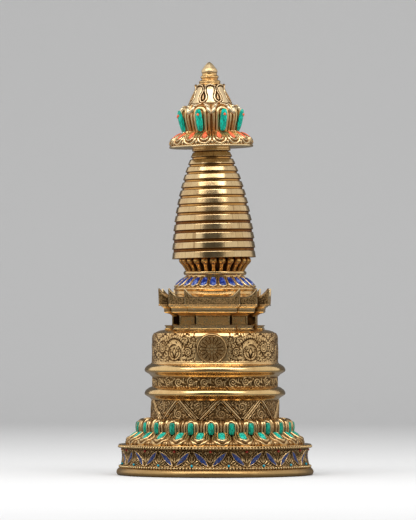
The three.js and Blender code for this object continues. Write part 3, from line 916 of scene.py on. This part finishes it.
def shade_clear_of_corner(size, run, face, side):
    """Painted shade: 0 in the inner corner of the plan, where shade falls, rising to 1 clear of it: face mm
    away along the corner block, side mm away along the projection's side."""
    far, mid, near = size
    inner = near + far - mid
    return np.clip(np.where(run > inner, (run - inner) / face, (inner - run) / side), 0, 1)


def on_edge(size, run, reach=0.8):
    """1 along the upright outer corners of the plan, which are rubbed bright."""
    far, _, near = size
    return np.minimum(np.abs(run - near), np.abs(run - far)) < reach


square_gilt = gilt("square_gilt", (1.0, 0.76, 0.42), (0.6, 0.34, 0.12), patina=0.95)
PLINTH = (53.1, 43.2, 25.3)
plinth = cornered("harmika_plinth_band", PLINTH, [
    (-3, 157.0), (-0.2, 157.2), (0, 157.5), (0, 158.4), (-0.9, 158.8), (-0.9, 160.7),
    (0, 161.0), (0, 161.9), (-0.3, 162.1), (-8, 162.1),
])
# The sunk band is left darker than the lips, and the inner corners get painted shade.
engraved(plinth, lambda run, z: (
    run * 0, np.where((z > 158.8) & (z < 160.7) & ~on_edge(PLINTH, run), 0.3, 1)
    * shade_clear_of_corner(PLINTH, run, 1.6, 6) ** 2,
))
fitted(plinth, square_gilt, "gilt", "harmika_plinth")


# Harmika body
# The upright walls, with a stippled panel in a thin frame on each face. Painted shade darkens the
# inner corners.

BODY = (45.6, 36.4, 18)
PANEL_MID, PANEL_HALF = 167.3, 4.3


def panel_relief(run, z):
    """A frame between two level lines, with a stippled field in it."""
    v = np.abs(z - PANEL_MID)
    framed = (run < 17) | ((run > 29.5) & (run < 44))
    level = np.clip(1 - np.abs(v - PANEL_HALF) / 0.5, 0, 1)
    field = 0.74 * framed * (v < PANEL_HALF - 0.5)
    rubbed = highest(level, on_edge(BODY, run, 1.4) * 1.0, field, 0.85 * (v > PANEL_HALF))
    # The inner corners get painted shade.
    return 0.35 * level, rubbed * shade_clear_of_corner(BODY, run, 2.4, 7) ** 2


body = cornered("harmika_engraved_body", BODY, [(0, 161.9 + 0.55 * i) for i in range(21)], spacing=0.5)
engraved(body, panel_relief)
panel_gilt = gilt("panel_gilt", (1.0, 0.7, 0.32), (0.72, 0.38, 0.12), punch=0.4)
fitted(body, panel_gilt, "gilt", "harmika_body")


# Harmika cornice
# A hollow under a flat board with bright edges, which carries the eave out beyond the walls.

cornice = cornered("harmika_cornice_moulding", BODY, [
    (-2, 172.4), (0.4, 172.5), (1.0, 173.2), (2.2, 174), (4.4, 174.7), (6.6, 175.2), (7.4, 175.7),
    (8.0, 176.2), (8.3, 176.9), (8.1, 177.6), (8.2, 179.4), (8.6, 180.6), (9.6, 181.4),
    (10.6, 181.8), (11.0, 182.4), (11.0, 183.3),
])
# How bright the cornice is at each height: darkest low in the hollow, under its overhang and against the
# wall, which is painted shade, and brightest on its rubbed fillets.
CORNICE_WEAR_AND_SHADE = [
    (172.6, 0.2), (174.8, 0.5), (175.6, 1), (177, 1), (177.6, 0.5), (178, 0.7), (180.6, 0.6), (181.4, 0.9),
    (182.4, 1),
]
# The inner corners get painted shade too.
engraved(cornice, lambda run, z: (
    run * 0, np.interp(z, *zip(*CORNICE_WEAR_AND_SHADE)) * shade_clear_of_corner(BODY, run, 1.5, 7) ** 1.5,
))
fitted(cornice, square_gilt, "gilt", "harmika_cornice")


# Harmika eave
# A board stippled with a punch, whose corners sweep up to points, with a bright rubbed edge on
# top and a fillet under it. A flat deck lies inside it.

EAVE = (59.2, 47.4, 29.7)
EAVE_FOOT, EAVE_LOW = 184.7, 192.2
EAVE_RISE, EAVE_SWEEP = 9.3, 11.5


def corner_rise(run):
    """How much higher the eave is at a place along its plan: most at the outer corners."""
    far, mid, near = EAVE
    away = np.where(run > near + far - mid, far - run, np.abs(run - near))
    return EAVE_RISE * np.maximum(0.0, 1 - away / EAVE_SWEEP) ** 1.75


random.seed(5)
eave_leaves = []
for row in range(11):
    for column in range(40):
        u = column * 1.6 + (row % 2) * 0.8 + random.uniform(-0.3, 0.3)
        v = 184.8 + row * 1.5 + random.uniform(-0.25, 0.25)
        way = random.uniform(0, 2 * math.pi)
        eave_leaves.append([(u, v, 0.5), (*polar(u, v, 0.9, way), 0.36)])


def eave_relief(run, z):
    """Punched work on the board, between its bright edges."""
    low_top = corner_rise(run) + EAVE_LOW
    leaf, cuts = scored(run, z, eave_leaves, 0.3)
    inside = (z > 184.8) & (z < low_top - 1.5)
    edge = (z > low_top - 1.1) | (z < 184.5)
    rubbed = highest(0.66 * leaf * inside, edge, 0.9 * on_edge(EAVE, run), 0.42 - 0.2 * cuts)
    # The inner corners get painted shade.
    return 0.25 * leaf * inside, rubbed * shade_clear_of_corner(EAVE, run, 1.2, 12) ** 0.7


wall = [(0, EAVE_FOOT + (EAVE_LOW - EAVE_FOOT) * i / 24, i / 24) for i in range(25)]
eave = cornered("harmika_upturned_eave", EAVE, [
    (-2.4, 182.9), (0.1, 183.0), (0.4, 183.4), (0.4, 184.1), (0, 184.4), *wall,
    (-0.5, EAVE_LOW + 0.35, 1), (-1.3, EAVE_LOW + 0.35, 1), (-1.8, EAVE_LOW - 0.1, 1),
    (-2.0, EAVE_LOW - 0.6), (-2.6, EAVE_LOW - 0.8), (-8, EAVE_LOW - 0.8),
], spacing=0.5, corner_rise=corner_rise, corner_lean=0.06)
engraved(eave, eave_relief)
eave_gilt = gilt("eave_gilt", (1.0, 0.74, 0.4), (0.66, 0.41, 0.17), patina=0.93, punch=0.25)
fitted(eave, eave_gilt, "gilt", "harmika_eave")


# Lotus seat
# A low drum on the deck, with a scored waist and a lip that the lapis lotus sits on.

SEAT = [
    (43, 191), (43, 194.8), (43.8, 195.2), (43.8, 196.4), (43, 196.8), (43, 199.2), (44.2, 199.8),
    (44.8, 200.8), (44.6, 202), (43.2, 202.8), (40, 202.8),
]
seat_gilt = gilt("seat_gilt", (0.92, 0.6, 0.26), ORANGE_GOLD, relief=None)
fitted(turned("lotus_seat_drum", rows(SEAT, 0.35, 2)), seat_gilt, "gilt", "lotus_seat")


# Lapis lotus
# A cone of long lapis petals in thin gold borders, round at the foot and pointed in to the neck.

CONE_RADIUS = 42
LAPIS_CONE = [(42.4, 202.6), (43.4, 203.4), (42.6, 204.4), (31.6, 213.8), (29, 214)]


def lapis_border_relief(angle, radius, z):
    """The border of a petal, and the lip under it."""
    u, s = angle * CONE_RADIUS, along(LAPIS_CONE, z)
    border, gaps = scored(u, s, [arch(4.3, 19, 5.6, 0.7)], 0.7)
    lip = strokes(np.abs(u), s, [[(-1, 0.6, 0.5), (6, 0.6, 0.5)]])
    shown = radius > 30
    rise = np.maximum(1.5 * border, 0.6 * lip) * shown
    return rise, highest(border, 0.8 * lip, 0.4 - 0.4 * gaps)


lapis_mount = turned("lapis_petal_borders", rows(LAPIS_CONE, 0.45), 576)
chased(lapis_mount, LOTUS_PETALS, lapis_border_relief)
border_gilt = gilt("border_gilt", (1.0, 0.78, 0.44), (0.5, 0.26, 0.08))
fitted(lapis_mount, border_gilt, "gilt", "lapis_lotus")
# Its palest colour gives pale blotches: partly the stone's own mottling, partly painted highlight.
royal_lapis = stone_material(
    "royal_lapis", [(0.004, 0.01, 0.08), (0.012, 0.04, 0.26), (0.2, 0.27, 0.58)], 0.6, 330, 0.16,
    (0.003, 0.005, 0.04),
)


def lapis_petal(x, y, z):
    """A long petal, wider at its foot."""
    girth = math.hypot(x, y) or 1
    width = (3.25 - 0.55 * z) * girth ** 0.36
    return x / girth * width, y / girth * girth ** 0.8 * 2.0, z * 7.1


lapis_stones = stones(lapis_petal, ring_of(LOTUS_PETALS, 37.9, 209.0, -49.4))
fitted(finished("lapis_petals", lapis_stones), royal_lapis, "lapis")


# Neck ring
# A plain round wire round the neck, burnished.

NECK_RADIUS, NECK_MID = 31.6, 218.6
neck_arc = [
    (NECK_RADIUS + 2.6 * math.sin(math.pi * i / 10), NECK_MID - 2.5 * math.cos(math.pi * i / 10))
    for i in range(11)
]
neck_outline = [(29, 213.8), (31.2, 214), (31.2, 216), *neck_arc, (31, 221.2), (29, 221.5)]
fitted(turned("neck_round_wire", neck_outline), burnished, "gilt", "neck_ring")


# Flared petal cup
# Narrow leaves that spread to their tips and carry the spire. The gaps are dark: patina, and painted shade
# in their depth.

CUP_RADIUS, CUP_FOOT, CUP_HEIGHT = 34, 221.4, 11
CUP = [
    (29.6, 221.2), (30, 222.6), (31.4, 225.2), (33.4, 228.2), (35, 230.6), (35.6, 232.4), (33, 232.6),
    (28, 232.6),
]


def cup_relief(angle, radius, z):
    """A leaf with a groove down its middle and its tip turned out."""
    u, v = np.abs(angle) * CUP_RADIUS, np.clip((z - CUP_FOOT) / CUP_HEIGHT, 0, 1)
    half = np.interp(v, [0, 0.3, 0.62, 0.86, 1], [2.7, 2.3, 2.6, 3.9, 3.6])
    leaf = rounded(u / half)
    groove = np.clip(1 - (u / 0.7) ** 2, 0, 1) * (v < 0.86)
    shown = (radius > 28.6) & (z > 221.3)
    tip = 1.4 * np.clip((v - 0.7) / 0.3, 0, 1) * (u < half)
    # The ground between the leaves is dark: patina, and painted shade.
    return (2.6 * leaf + tip - 0.5 * groove * leaf) * shown, leaf * (0.85 - 0.3 * groove)


cup = chased(turned("flared_cup_leaves", rows(CUP, 0.4, 3), 560), LOTUS_PETALS, cup_relief)
cup_gilt = gilt("cup_gilt", (0.86, 0.46, 0.13), (0.34, 0.13, 0.03))
fitted(cup, cup_gilt, "gilt", "flared_petal_cup")


# Spire core
# The stem that shows as an orange groove between the rings. From here up, everything stands on
# one rod that leans a little to the left.

ROD_FOOT = 190 * MM
ROD_LEAN = math.radians(-1.4)
LEANING = (
    Matrix.Translation((0, 0, ROD_FOOT)) @ Matrix.Rotation(ROD_LEAN, 4, "Y")
    @ Matrix.Translation((0, 0, -ROD_FOOT))
)


def on_rod(piece, material, slot, *nodes):
    """Leans a piece with the rod, and fits it."""
    piece.data.transform(LEANING)
    fitted(piece, material, slot, *nodes)


SPIRE_RINGS = 13
SPIRE_FOOT, FIRST_STEP, STEP_LOSS = 234.7, 10.4, 2.5
SPIRE_WIDE, SPIRE_TAPER = 45.5, 23.1
FACE_HIGH, FACE_LOSS = 7.3, 1.8


def ring_bottom(ring):
    """The rings stand a little closer together the higher they are."""
    return SPIRE_FOOT + FIRST_STEP * ring - STEP_LOSS / (SPIRE_RINGS - 2) * ring * (ring - 1) / 2


def spire_radius(ring):
    """The spire draws in ever faster toward its top."""
    return SPIRE_WIDE - SPIRE_TAPER * (ring / (SPIRE_RINGS - 1)) ** 1.72


def face_height(ring):
    return FACE_HIGH - FACE_LOSS * ring / (SPIRE_RINGS - 1)


core_outline = [(30, 233.4)]
for ring in range(SPIRE_RINGS):
    bottom = ring_bottom(ring)
    groove = spire_radius(ring + 1) - 1.4
    core_outline += [(spire_radius(ring) - 4.4, bottom + 1), (groove - 0.5, bottom + 5)]
    core_outline += [(groove, bottom + face_height(ring) - 0.4), (groove, ring_bottom(ring + 1) + 0.4)]
core_outline[-1] = (17, 351)
core_outline += [(17, 356)]


def groove_shade(angle, radius, z):
    """Painted shade along the top of every groove, under the ring above, and along its foot; the lowest
    grooves are darker all over.
    """
    bottoms = [ring_bottom(ring) for ring in range(SPIRE_RINGS + 1)]
    tops = [bottom + face_height(ring) for ring, bottom in enumerate(bottoms)]
    ring = np.clip(np.searchsorted(bottoms, z) - 1, 0, SPIRE_RINGS - 1)
    near = np.minimum(np.abs(z - np.take(tops, ring)) / 0.6, np.abs(np.take(bottoms, ring + 1) - z) / 1.1)
    return angle * 0, np.clip(near, 0.05, 1) * np.interp(ring, [3, 5], [0.42, 1])


stem_gilt = gilt("stem_gilt", (0.7, 0.36, 0.1), (0.24, 0.08, 0.015))
core = chased(turned("spire_stem", rows(core_outline, 0.6), 96), 1, groove_shade)
on_rod(core, stem_gilt, "gilt", "spire_core")


# Spire rings
# Thirteen rings for the thirteen steps, beaten from strip and polished. Each face flares down
# to a thin lip, and shows faint upright planishing marks.

def planished(material):
    """Adds faint upright streaks to a gilded finish, and facets that differ a little in tone
    with a fine line between them."""
    tree = material.node_tree
    shader = tree.nodes["Principled BSDF"]
    place = added(tree, "TexCoord", {})
    turn = added(tree, "SeparateXYZ", {"Vector": place["UV"]})["X"]
    level = added(tree, "Attribute", {}, attribute_name="ring")["Fac"]
    spot = added(tree, "CombineXYZ", {"X": worked(tree, "MULTIPLY", turn, 14), "Y": level})["Vector"]
    drift = worked(tree, "MULTIPLY", clouded(tree, spot, 1), 3.4)
    count = worked(tree, "ADD", worked(tree, "MULTIPLY_ADD", turn, 24, level), drift)
    facet = worked(tree, "FRACT", count)
    edge = worked(tree, "MINIMUM", facet, worked(tree, "SUBTRACT", 1, facet))
    seam = worked(tree, "LESS_THAN", edge, 0.028)
    number = worked(tree, "MULTIPLY_ADD", level, 7.3, worked(tree, "FLOOR", count))
    tone = added(tree, "TexWhiteNoise", {"W": number}, noise_dimensions="1D")["Value"]
    drawn = added(tree, "Mapping", {"Vector": place["Object"], "Scale": (1, 1, 0.15)})["Vector"]
    color = shader.inputs["Base Color"].links[0].from_socket
    for share, shade in (
        (worked(tree, "MULTIPLY", tone, 0.42), (0.55, 0.34, 0.13, 1)),
        (worked(tree, "MULTIPLY", seam, 0.45), (0.2, 0.1, 0.04, 1)),
        (ranged(tree, clouded(tree, drawn, 700), 0.5, 0.8, 0.0, 0.3, "LINEAR"), (0.4, 0.24, 0.09, 1)),
    ):
        color = blended(tree, share, color, shade)
    feed(tree, shader, {"Base Color": color})
    return material


ring_gilt = planished(gilt("ring_gilt", (0.85, 0.62, 0.33), (0.4, 0.19, 0.06), satin=0.2))


def shaded_under_lip(bottom, top):
    """Painted shade on the underside of a ring and along its lower lip, and none on its face."""
    levels = [bottom + 0.3, bottom + 0.9, top, top + 0.12]
    return lambda angle, radius, z: (angle * 0, np.interp(z, levels, [0.0, 1, 1, 0.1]))


for ring in range(SPIRE_RINGS):
    outer = spire_radius(ring)
    bottom = ring_bottom(ring)
    top = bottom + face_height(ring)
    inset = 1.3 + 0.35 * (outer - spire_radius(ring + 1))
    outline = [
        (outer - 3.6, bottom + 0.5), (outer - 1.2, bottom + 0.2), (outer - 0.2, bottom),
        (outer, bottom + 0.3), (outer - 0.2, bottom + 1.2), (outer - inset + 0.5, top - 0.6),
        (outer - inset, top), (outer - 3.6, top + 0.2),
    ]
    band = turned(f"spire_band_{ring + 1:02d}", rows(outline, 0.35, 1), 160)
    # Painted shade under each ring.
    chased(band, 1, shaded_under_lip(bottom, top))
    level = band.data.attributes.new("ring", "FLOAT", "POINT")
    level.data.foreach_set("value", [ring] * len(band.data.vertices))
    on_rod(band, ring_gilt, "gilt", f"spire_ring_{ring + 1:02d}")


# Parasol collar
# A plain collar on top of the rings.

COLLAR = [(16, 350.4), (18.6, 350.6), (20.8, 351.2), (21, 352.2), (20.6, 353.2), (20.8, 354.8), (16, 354.8)]
on_rod(turned("parasol_collar_band", rows(COLLAR, 0.35, 2), 128), seat_gilt, "gilt", "parasol_collar")


# Parasol
# A domed disc with a plain rim and sixteen petals that hang down over it, each inlaid with a
# drop of coral. It is turned a little on the rod.

CROWN_TURN = math.radians(4.3)
PARASOL_PETALS = 16
PARASOL_RADIUS, RIM_TOP = 40, 357.25
PARASOL = [
    (18, 354.7), (42, 354.7), (44.6, 354.7), (45.4, 355), (45.6, 355.6), (45.6, 356.5), (45, 357),
    (44, 357.2), (44.4, 358.6), (44.3, 360.6), (43.4, 362.8), (41.2, 364.6), (38, 366.4), (34, 368.2),
    (29.6, 370.2), (28.2, 371.6), (24, 371.8),
]


def parasol_relief(angle, radius, z):
    """A petal's two ridges, s mm up from the rim, with half a sepal at each side of its foot."""
    u, s = angle * PARASOL_RADIUS, along(PARASOL[6:], z)
    petals = (z > RIM_TOP) & (radius > 26)
    inner, moat = scored(u, s, [arch(3.5, 24, 8.4, 0.9)], 0.5)
    outer, groove = scored(u, s, [arch(6.3, 24, 7.3, 1.15)], 0.5)
    sepal, gaps = scored(np.abs(u), s, [bent((7.85, 4.6), (7.85, 0.6), 0, 1.4)], 0.4)
    swell = 0.7 * rounded(u / 7.4) * np.clip((s - 1) / 3, 0, 1)
    cut = highest(moat, groove, gaps)
    rise = swell + 1.1 * highest(inner, outer, 0.8 * sepal) - 0.35 * cut
    rubbed = highest(inner, outer, 0.9 * sepal, 0.5 - 0.45 * cut)
    return rise * petals, np.maximum(rubbed, z < RIM_TOP)


parasol = turned("parasol_petals", softened([PARASOL[0], *rows(PARASOL[1:], 0.42)], 1), 576)
chased(parasol, PARASOL_PETALS, parasol_relief, CROWN_TURN + math.pi / PARASOL_PETALS)
bright_petal_gilt = gilt("bright_petal_gilt", (1.0, 0.76, 0.42), (0.54, 0.27, 0.09))
on_rod(parasol, bright_petal_gilt, "gilt", "parasol")


def coral_drop(x, y, z):
    """A drop, full at its lower end."""
    length, width, thick = 12.8, 4.7, 1.7
    full = 1 - 0.48 * z - 0.1 * z * z
    return x * full * width / 2, y * thick * (0.8 + 0.2 * full), z * length / 2


pale_coral = stone_material(
    "pale_coral", [(0.5, 0.06, 0.02), (0.8, 0.13, 0.045), (0.86, 0.24, 0.1)], 1, 380, 0.35,
)
drops = stones(coral_drop, ring_of(PARASOL_PETALS, 38.2, 367.3, -56, shift=0.5, turn=CROWN_TURN), 16)
on_rod(finished("parasol_coral_drops", drops), pale_coral, "coral")


# Bud
# Eight turquoise petals stand round a swelling bud, each in a ridged frame, and a pair of ribs
# with curling tips fills each space between them.

BUD = [
    (24, 371.4), (28, 371.6), (28.6, 374), (29.8, 378), (31.2, 383), (32, 388.4), (31.6, 392.4),
    (30.2, 396.2), (28, 399.2), (25, 400.8), (20, 401),
]
BUD_PETALS = 8
BUD_RADIUS, BUD_FOOT = 33, 373
BUD_TURN = CROWN_TURN + math.pi / BUD_PETALS


def bud_relief(angle, radius, z):
    """The frame of a petal, with a rib at each side."""
    u, v = angle * BUD_RADIUS, z - BUD_FOOT
    inner, moat = scored(u, v, [arch(5.9, -2, 18.6, 1.9)], 0.7)
    leaf = [(10.2, -2, 1.7), (10.2, 13, 1.7), (10.5, 18, 1.8), (10.8, 22.5, 1.9), (10.4, 26, 1.3)]
    outer, groove = scored(np.abs(u), v, [leaf], 0.6)
    shown = (radius > 23) & (z > 371.7) & (z < 400.8)
    cut = np.maximum(moat, groove)
    rise = np.maximum(1.7 * inner, 1.4 * outer) - 0.4 * cut
    return rise * shown, highest(inner, (0.62 + 0.03 * (v - 8)) * outer, 0.3 - 0.3 * cut)


bud = turned("bud_ribs", rows(BUD, 0.45, 4), 560)
chased(bud, BUD_PETALS, bud_relief, BUD_TURN)
bud_gilt = gilt("bud_gilt", (1.0, 0.74, 0.38), (0.66, 0.31, 0.09), satin=0.33)
on_rod(bud, bud_gilt, "gilt", "bud_petals")
# A paler gold than the rest of the bud: a painted highlight that makes the curled tips read bright.
highlit_tip_gilt = gilt("highlit_tip_gilt", (1.0, 0.84, 0.58), (0.6, 0.36, 0.14), relief=None, satin=0.36)
tips = bmesh.new()
for side in (-1, 1):
    for size, radius, height, pitch, roll, away in (
        ((11, 5.3, 3.1), 31.4, 394.2, -26, 26, 4.8), ((6, 3.6, 2.1), 29.2, 398.9, -30, 62, 9.4),
    ):
        turn = BUD_TURN + side * math.radians(away)
        places = ring_of(BUD_PETALS, radius, height, pitch, side * roll, 0.5, turn)
        stones(leaf_shape(*size), places, 16, 10, tips)
on_rod(finished("bud_curled_tips", tips), highlit_tip_gilt, "gilt")
bright_turquoise = stone_material(
    "bright_turquoise", [(0.0, 0.16, 0.11), (0.0, 0.44, 0.31), (0.004, 0.62, 0.47)], 0.3, 480, 0.22,
    (0.0, 0.1, 0.07),
)
for i, at in enumerate(ring_of(BUD_PETALS, 34.3, 383.4, 14, turn=BUD_TURN), 1):
    stone = finished(f"bud_turquoise_{i}", stones(cabochon(24.4, 7.8, 2.5), [at]))
    on_rod(stone, bright_turquoise, "turquoise", f"turquoise_petal_{i}")
coral_beads = beads(2.9, ring_of(BUD_PETALS, 38.1, 389.4, turn=BUD_TURN), 3)
on_rod(finished("bud_coral_beads", coral_beads), coral, "coral")


# Crown
# Eight petals draw in to a neck and flick out at their tips. A drop-shaped boss lies low
# between each pair.

CROWN = [
    (20, 399.8), (22.6, 400), (23, 401.2), (22.5, 403.4), (20.8, 407.2), (19, 410.8), (17.3, 414),
    (15.8, 417), (14.7, 420), (14.2, 421.8), (13.2, 422.6), (11, 422.8), (9, 422.8),
]
CROWN_PETALS = 8
PETAL_EDGE = [
    (0, 403.2, 1.1), (1.7, 403.8, 1.1), (3.2, 405.4, 1.1), (3.8, 407.8, 1.1), (3.4, 410.2, 1.0),
    (2.1, 412.8, 0.9), (1.2, 415.2, 0.85), (1.0, 417.6, 0.8), (1.3, 419.4, 0.8), (2.4, 421, 0.8),
    (5.8, 421.8, 0.8),
]


def crown_relief(angle, radius, z):
    """The edges are drawn by their distance from the line where two petals meet."""
    wall = CROWN[1:-2]
    local = np.interp(z, [level for _, level in wall], [out for out, _ in wall]) + 0.8
    half = math.pi / CROWN_PETALS * local
    side = half - np.abs(angle) * local
    edge, moat = scored(side, z, [PETAL_EDGE], 0.75)
    boss, ring = scored(side, z, [[(0, 406.9, 1.8), (0, 409.2, 1.35), (0, 412.4, 0.3)]], 0.75)
    hem, hem_cut = scored(side, z, [[(0.1, 402.4, 0.6), (4, 401.6, 0.6), (9, 400.9, 0.6)]], 0.5)
    within = side > np.interp(z, [v for _, v, _ in PETAL_EDGE], [u for u, _, _ in PETAL_EDGE])
    bulge = rounded(1 - side / half) * within
    flick = np.clip((z - 416) / 5.5, 0, 1) ** 1.4 * np.maximum(1.6 * edge, 0.5 * within)
    shown = (radius > 13.4) & (z > 400.2) & (z < 422.5)
    rise = highest(1.3 * edge, (0.2 + 0.9 * bulge) * within, 1.3 * boss, 0.9 * hem) + flick - 0.3 * moat
    stippled = 0.15 * (within & (z > 415) & (side > 2.4))
    ground = np.where(within, 1.0 - stippled, np.where(z > 413, 0.8, 0.35))
    ground = ground - 0.95 * highest(moat, ring, hem_cut)
    return rise * shown, highest(0.78 * edge, 0.72 * boss * (ring < 0.5), 0.8 * hem, ground)


crown = turned("crown_eight_petals", rows(CROWN, 0.38, 3), 496)
chased(crown, CROWN_PETALS, crown_relief, CROWN_TURN)
crown_gilt = gilt("crown_gilt", (0.94, 0.72, 0.43), (0.44, 0.22, 0.07), punch=0.3, satin=0.33)
on_rod(crown, crown_gilt, "gilt", "crown_petals")


# Finial
# A collar and a dish, turned in one, with a pointed jewel on top.

FINIAL = [
    (9, 422.6), (12.4, 422.8), (12.6, 423.6), (11.4, 424.4), (11.3, 425.2), (11.9, 426), (11.6, 427),
    (10.4, 427.9), (8.8, 428.5), (8.7, 429.6), (9.7, 430.4), (9.9, 431.5), (9.7, 432.4), (8.6, 433.2),
    (8.1, 434), (8.2, 435.6), (5, 435.7),
]
on_rod(turned("finial_turned_collar", rows(FINIAL, 0.3, 2), 128), seat_gilt, "gilt", "finial_collar")
JEWEL = [
    (6, 435.5), (8.2, 435.7), (8.7, 436.6), (8.8, 437.6), (8.4, 439.2), (7.2, 441), (5.9, 442.6),
    (4.7, 444.2), (3.5, 445.6), (2.2, 447), (0.5, 447.9),
]
jewel_gilt = gilt("jewel_gilt", (0.9, 0.67, 0.37), ORANGE_GOLD, relief=None, satin=0.4)
on_rod(turned("finial_pointed_jewel", rows(JEWEL, 0.3, 2), 128), jewel_gilt, "gilt", "finial_jewel")


# Floor and light
# A sheet of pale paper that sweeps up behind the object, and soft boxes at its sides and over
# it. The air in front stays dim, so polished metal has something dark to mirror.

def greyed(tree, seen, mirrored):
    """A grey that metal mirrors as a darker one."""
    mirror = added(tree, "LightPath", {})["Is Glossy Ray"]
    return blended(tree, mirror, (seen, seen, seen, 1), (mirrored, mirrored, mirrored, 1))


paper, tree, shader = new_material("pale_paper")
feed(tree, shader, {"Roughness": 0.9, "Base Color": greyed(tree, 0.72, 0.18)})
sweep = [(-30, 0), (2.4, 0)]
sweep += [
    (2.4 + 2 * math.sin(math.pi / 2 * i / 12), 2 - 2 * math.cos(math.pi / 2 * i / 12)) for i in range(1, 13)
]
sweep += [(4.4, 12)]
bm = bmesh.new()
for vert, _, course in sheet(bm, 1, len(sweep) - 1):
    depth, height = sweep[course]
    vert.co = (vert.co.x * 24, depth, height)
floor = finished("floor", bm)
floor.data.materials.append(paper)


def soft_box(name, place, size, power):
    """A large lamp that shines at the object."""
    light = bpy.data.lights.new(name, "AREA")
    light.shape = "RECTANGLE"
    light.size, light.size_y = size
    light.energy = power
    lamp = bpy.data.objects.new(name, light)
    lamp.location = place
    lamp.rotation_euler = (Vector((0, 0, 0.2)) - Vector(place)).to_track_quat("-Z", "Y").to_euler()
    bpy.context.scene.collection.objects.link(lamp)


soft_box("left_box", (-1.25, -0.1, 0.85), (3.4, 1.8), 15)
soft_box("right_box", (1.25, -0.1, 0.85), (3.4, 1.8), 13)
soft_box("top_box", (0, -0.75, 1.5), (2.5, 0.8), 21)

world = bpy.data.worlds.new("studio")
bpy.context.scene.world = world
world.use_nodes = True
tree = world.node_tree
feed(tree, tree.nodes["Background"], {"Color": greyed(tree, 0.62, 0.08)})
bpy.context.scene.view_settings.view_transform = "Standard"


# Camera
# Far off and level with the drum, three degrees round to the right, so the front of the object
# is turned a little to the left. A long lens keeps its sides nearly parallel.

DISTANCE = 4.7
EYE_LEVEL = 0.165
MIDDLE_ASIDE, MIDDLE_HEIGHT = -7.6 * MM, 232.8 * MM
SENSOR = 36
PICTURE_HEIGHT = 520
PX_PER_MM = 0.9214
bearing = math.radians(3)
right = Vector((math.cos(bearing), math.sin(bearing), 0))
back = Vector((math.sin(bearing), -math.cos(bearing), 0))
camera_data = bpy.data.cameras.new("camera")
camera_data.lens = SENSOR / PICTURE_HEIGHT * PX_PER_MM * DISTANCE / MM
camera_data.clip_end = 100
camera = bpy.data.objects.new("camera", camera_data)
camera.location = right * MIDDLE_ASIDE + back * DISTANCE + Vector((0, 0, EYE_LEVEL))
target = right * MIDDLE_ASIDE + Vector((0, 0, MIDDLE_HEIGHT))
camera.rotation_euler = (target - camera.location).to_track_quat("-Z", "Y").to_euler()
bpy.context.scene.collection.objects.link(camera)
bpy.context.scene.camera = camera
